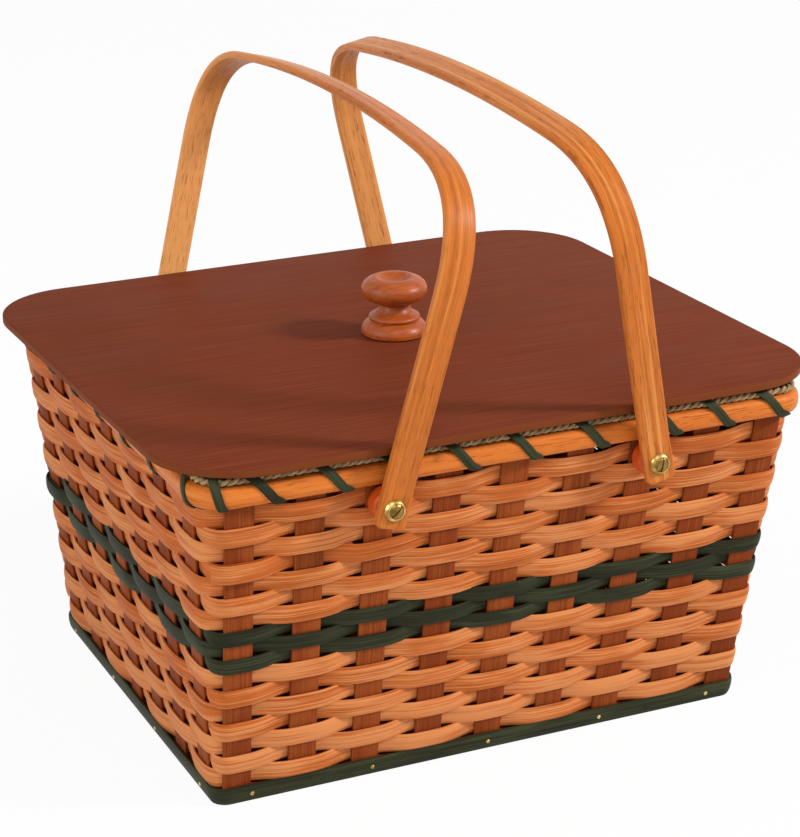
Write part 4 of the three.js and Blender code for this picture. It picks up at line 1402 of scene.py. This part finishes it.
class BASKET_OT_knob(BasketOperator, bpy.types.Operator):
    """Turns the knob and drives its screw"""

    bl_idname = "basket.knob"
    bl_label = "Knob"

    STEPS = 72
    SCREW_EASE = 0.3 * MM
    # Radius and height of each point, as shares of the knob's own radius and height
    PROFILE = (
        (0.0, 0.0),
        (0.94, 0.0),
        (0.99, 0.02),
        (1.0, 0.06),
        (0.985, 0.115),
        (0.93, 0.17),
        (0.85, 0.215),
        (0.76, 0.245),
        (0.735, 0.25),
        (0.735, 0.262),
        (0.765, 0.275),
        (0.775, 0.3),
        (0.755, 0.325),
        (0.69, 0.345),
        (0.6, 0.375),
        (0.52, 0.42),
        (0.475, 0.47),
        (0.46, 0.515),
        (0.49, 0.54),
        (0.56, 0.56),
        (0.72, 0.59),
        (0.86, 0.635),
        (0.95, 0.69),
        (0.995, 0.76),
        (0.985, 0.83),
        (0.93, 0.895),
        (0.82, 0.95),
        (0.7, 0.982),
        (0.58, 0.998),
        (0.5, 0.993),
        (0.44, 0.965),
        (0.34, 0.93),
        (0.16, 0.912),
        (0.0, 0.908),
    )

    def make(self, sizes, colours):
        low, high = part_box("lid_knob")
        radius, height = (high.x - low.x) / 2, high.z - low.z
        middle = (low + high) / 2
        profile = [(out * radius, rise * height) for out, rise in self.PROFILE]
        bm = new_bmesh()
        turn_profile(bm, profile, Matrix.Translation((middle.x, middle.y, low.z)), self.STEPS)
        add_piece("turned_knob", bm, "lid", [turned_wood(colours)], ["lid_knob"])
        bm = eased_copy("knob_screw", self.SCREW_EASE)
        finish = plated_brass(colours)
        add_piece("brass_knob_screw", bm, "lid", [finish], ["knob_screw"], sharp=30)


# Stage


class BASKET_OT_stage(bpy.types.Operator):
    """Lays the floor and sets the lamps, the surrounding light and the camera"""

    bl_idname = "basket.stage"
    bl_label = "Stage"

    FLOOR_SIZE = 8
    FLOOR_DROP = 0.2 * MM
    AIM = Vector((0, 0, 0.18))
    LAMPS = {  # place and size
        "key": ((4.4, -2.8, 3.4), 1.1),
        "fill": ((-0.7, -2.3, 3.3), 2.2),
        "side": ((-3.2, -0.6, 1.5), 2.0),
    }

    def execute(self, context):
        stage = context.scene.basket_stage
        context.scene.view_settings.view_transform = "Standard"
        self.lay_floor(stage)
        self.set_world(stage)
        for name, (place, size) in self.LAMPS.items():
            self.add_lamp(f"{name}_lamp", getattr(stage, name), place, size)
        self.add_camera(context)
        return {"FINISHED"}

    def lay_floor(self, stage):
        bm = bmesh.new()
        place = Matrix.Translation((0, 0, -self.FLOOR_DROP))
        bmesh.ops.create_grid(bm, x_segments=1, y_segments=1, size=self.FLOOR_SIZE / 2, matrix=place)
        mesh = bpy.data.meshes.new("floor")
        bm.to_mesh(mesh)
        bm.free()
        mesh.materials.append(material("pale_paper_floor", build_floor, stage.floor, stage.floor_glow))
        floor = bpy.data.objects.new("floor", mesh)
        bpy.context.scene.collection.objects.link(floor)

    def set_world(self, stage):
        world = bpy.data.worlds.new("studio")
        world.use_nodes = True
        tree = world.node_tree
        tree.nodes.clear()
        around = add_node(
            tree, "ShaderNodeBackground", {"Color": (1, 1, 1, 1), "Strength": stage.ambient}
        )
        white = add_node(tree, "ShaderNodeBackground", {"Color": (1, 1, 1, 1), "Strength": 1.0})
        mixed = add_node(
            tree,
            "ShaderNodeMixShader",
            {0: seen_directly(tree).outputs[0], 1: around.outputs[0], 2: white.outputs[0]},
        )
        add_node(tree, "ShaderNodeOutputWorld", {"Surface": mixed.outputs[0]})
        bpy.context.scene.world = world

    def add_lamp(self, name, power, place, size):
        light = bpy.data.lights.new(name, "AREA")
        light.shape = "DISK"
        light.size = size
        light.energy = power
        lamp = bpy.data.objects.new(name, light)
        lamp.location = place
        lamp.rotation_euler = (self.AIM - Vector(place)).to_track_quat("-Z", "Y").to_euler()
        bpy.context.scene.collection.objects.link(lamp)

    def add_camera(self, context):
        data = bpy.data.cameras.new("camera")
        data.sensor_fit = "VERTICAL"
        data.sensor_height = SENSOR
        data.lens = FOCAL_PIXELS * SENSOR / PHOTO_HEIGHT
        camera = bpy.data.objects.new("camera", data)
        camera.location = CAMERA_PLACE
        camera.rotation_euler = (math.pi / 2 - CAMERA_ELEVATION, 0, CAMERA_AZIMUTH)
        context.scene.collection.objects.link(camera)
        context.scene.camera = camera


PIECE_OPERATORS = (
    BASKET_OT_stakes,
    BASKET_OT_band,
    BASKET_OT_weavers,
    BASKET_OT_rim,
    BASKET_OT_filler,
    BASKET_OT_lashing,
    BASKET_OT_handles,
    BASKET_OT_pivots,
    BASKET_OT_lid,
    BASKET_OT_knob,
    BASKET_OT_stage,
)


class BASKET_PT_panel(bpy.types.Panel):
    """Lists the basket's pieces and settings in the sidebar"""

    bl_label = "Picnic Basket"
    bl_idname = "BASKET_PT_panel"
    bl_space_type = "VIEW_3D"
    bl_region_type = "UI"
    bl_category = "Basket"

    def draw(self, context):
        scene = context.scene
        for operator in PIECE_OPERATORS:
            self.layout.operator(operator.bl_idname)
        for settings in (scene.basket_sizes, scene.basket_colours, scene.basket_stage):
            box = self.layout.box()
            for name in settings.__annotations__:
                box.prop(settings, name)


CLASSES = (BasketSizes, BasketColours, BasketStage, *PIECE_OPERATORS, BASKET_PT_panel)


def register():
    for cls in CLASSES:
        bpy.utils.register_class(cls)
    bpy.types.Scene.basket_sizes = PointerProperty(type=BasketSizes)
    bpy.types.Scene.basket_colours = PointerProperty(type=BasketColours)
    bpy.types.Scene.basket_stage = PointerProperty(type=BasketStage)


def unregister():
    del bpy.types.Scene.basket_stage
    del bpy.types.Scene.basket_colours
    del bpy.types.Scene.basket_sizes
    for cls in reversed(CLASSES):
        bpy.utils.unregister_class(cls)


def main():
    register()
    bpy.ops.basket.stage()
    bpy.ops.basket.stakes()
    bpy.ops.basket.band()
    bpy.ops.basket.weavers()
    bpy.ops.basket.rim()
    bpy.ops.basket.filler()
    bpy.ops.basket.lashing()
    bpy.ops.basket.handles()
    bpy.ops.basket.pivots()
    bpy.ops.basket.lid()
    bpy.ops.basket.knob()


if __name__ == "__main__":
    main()
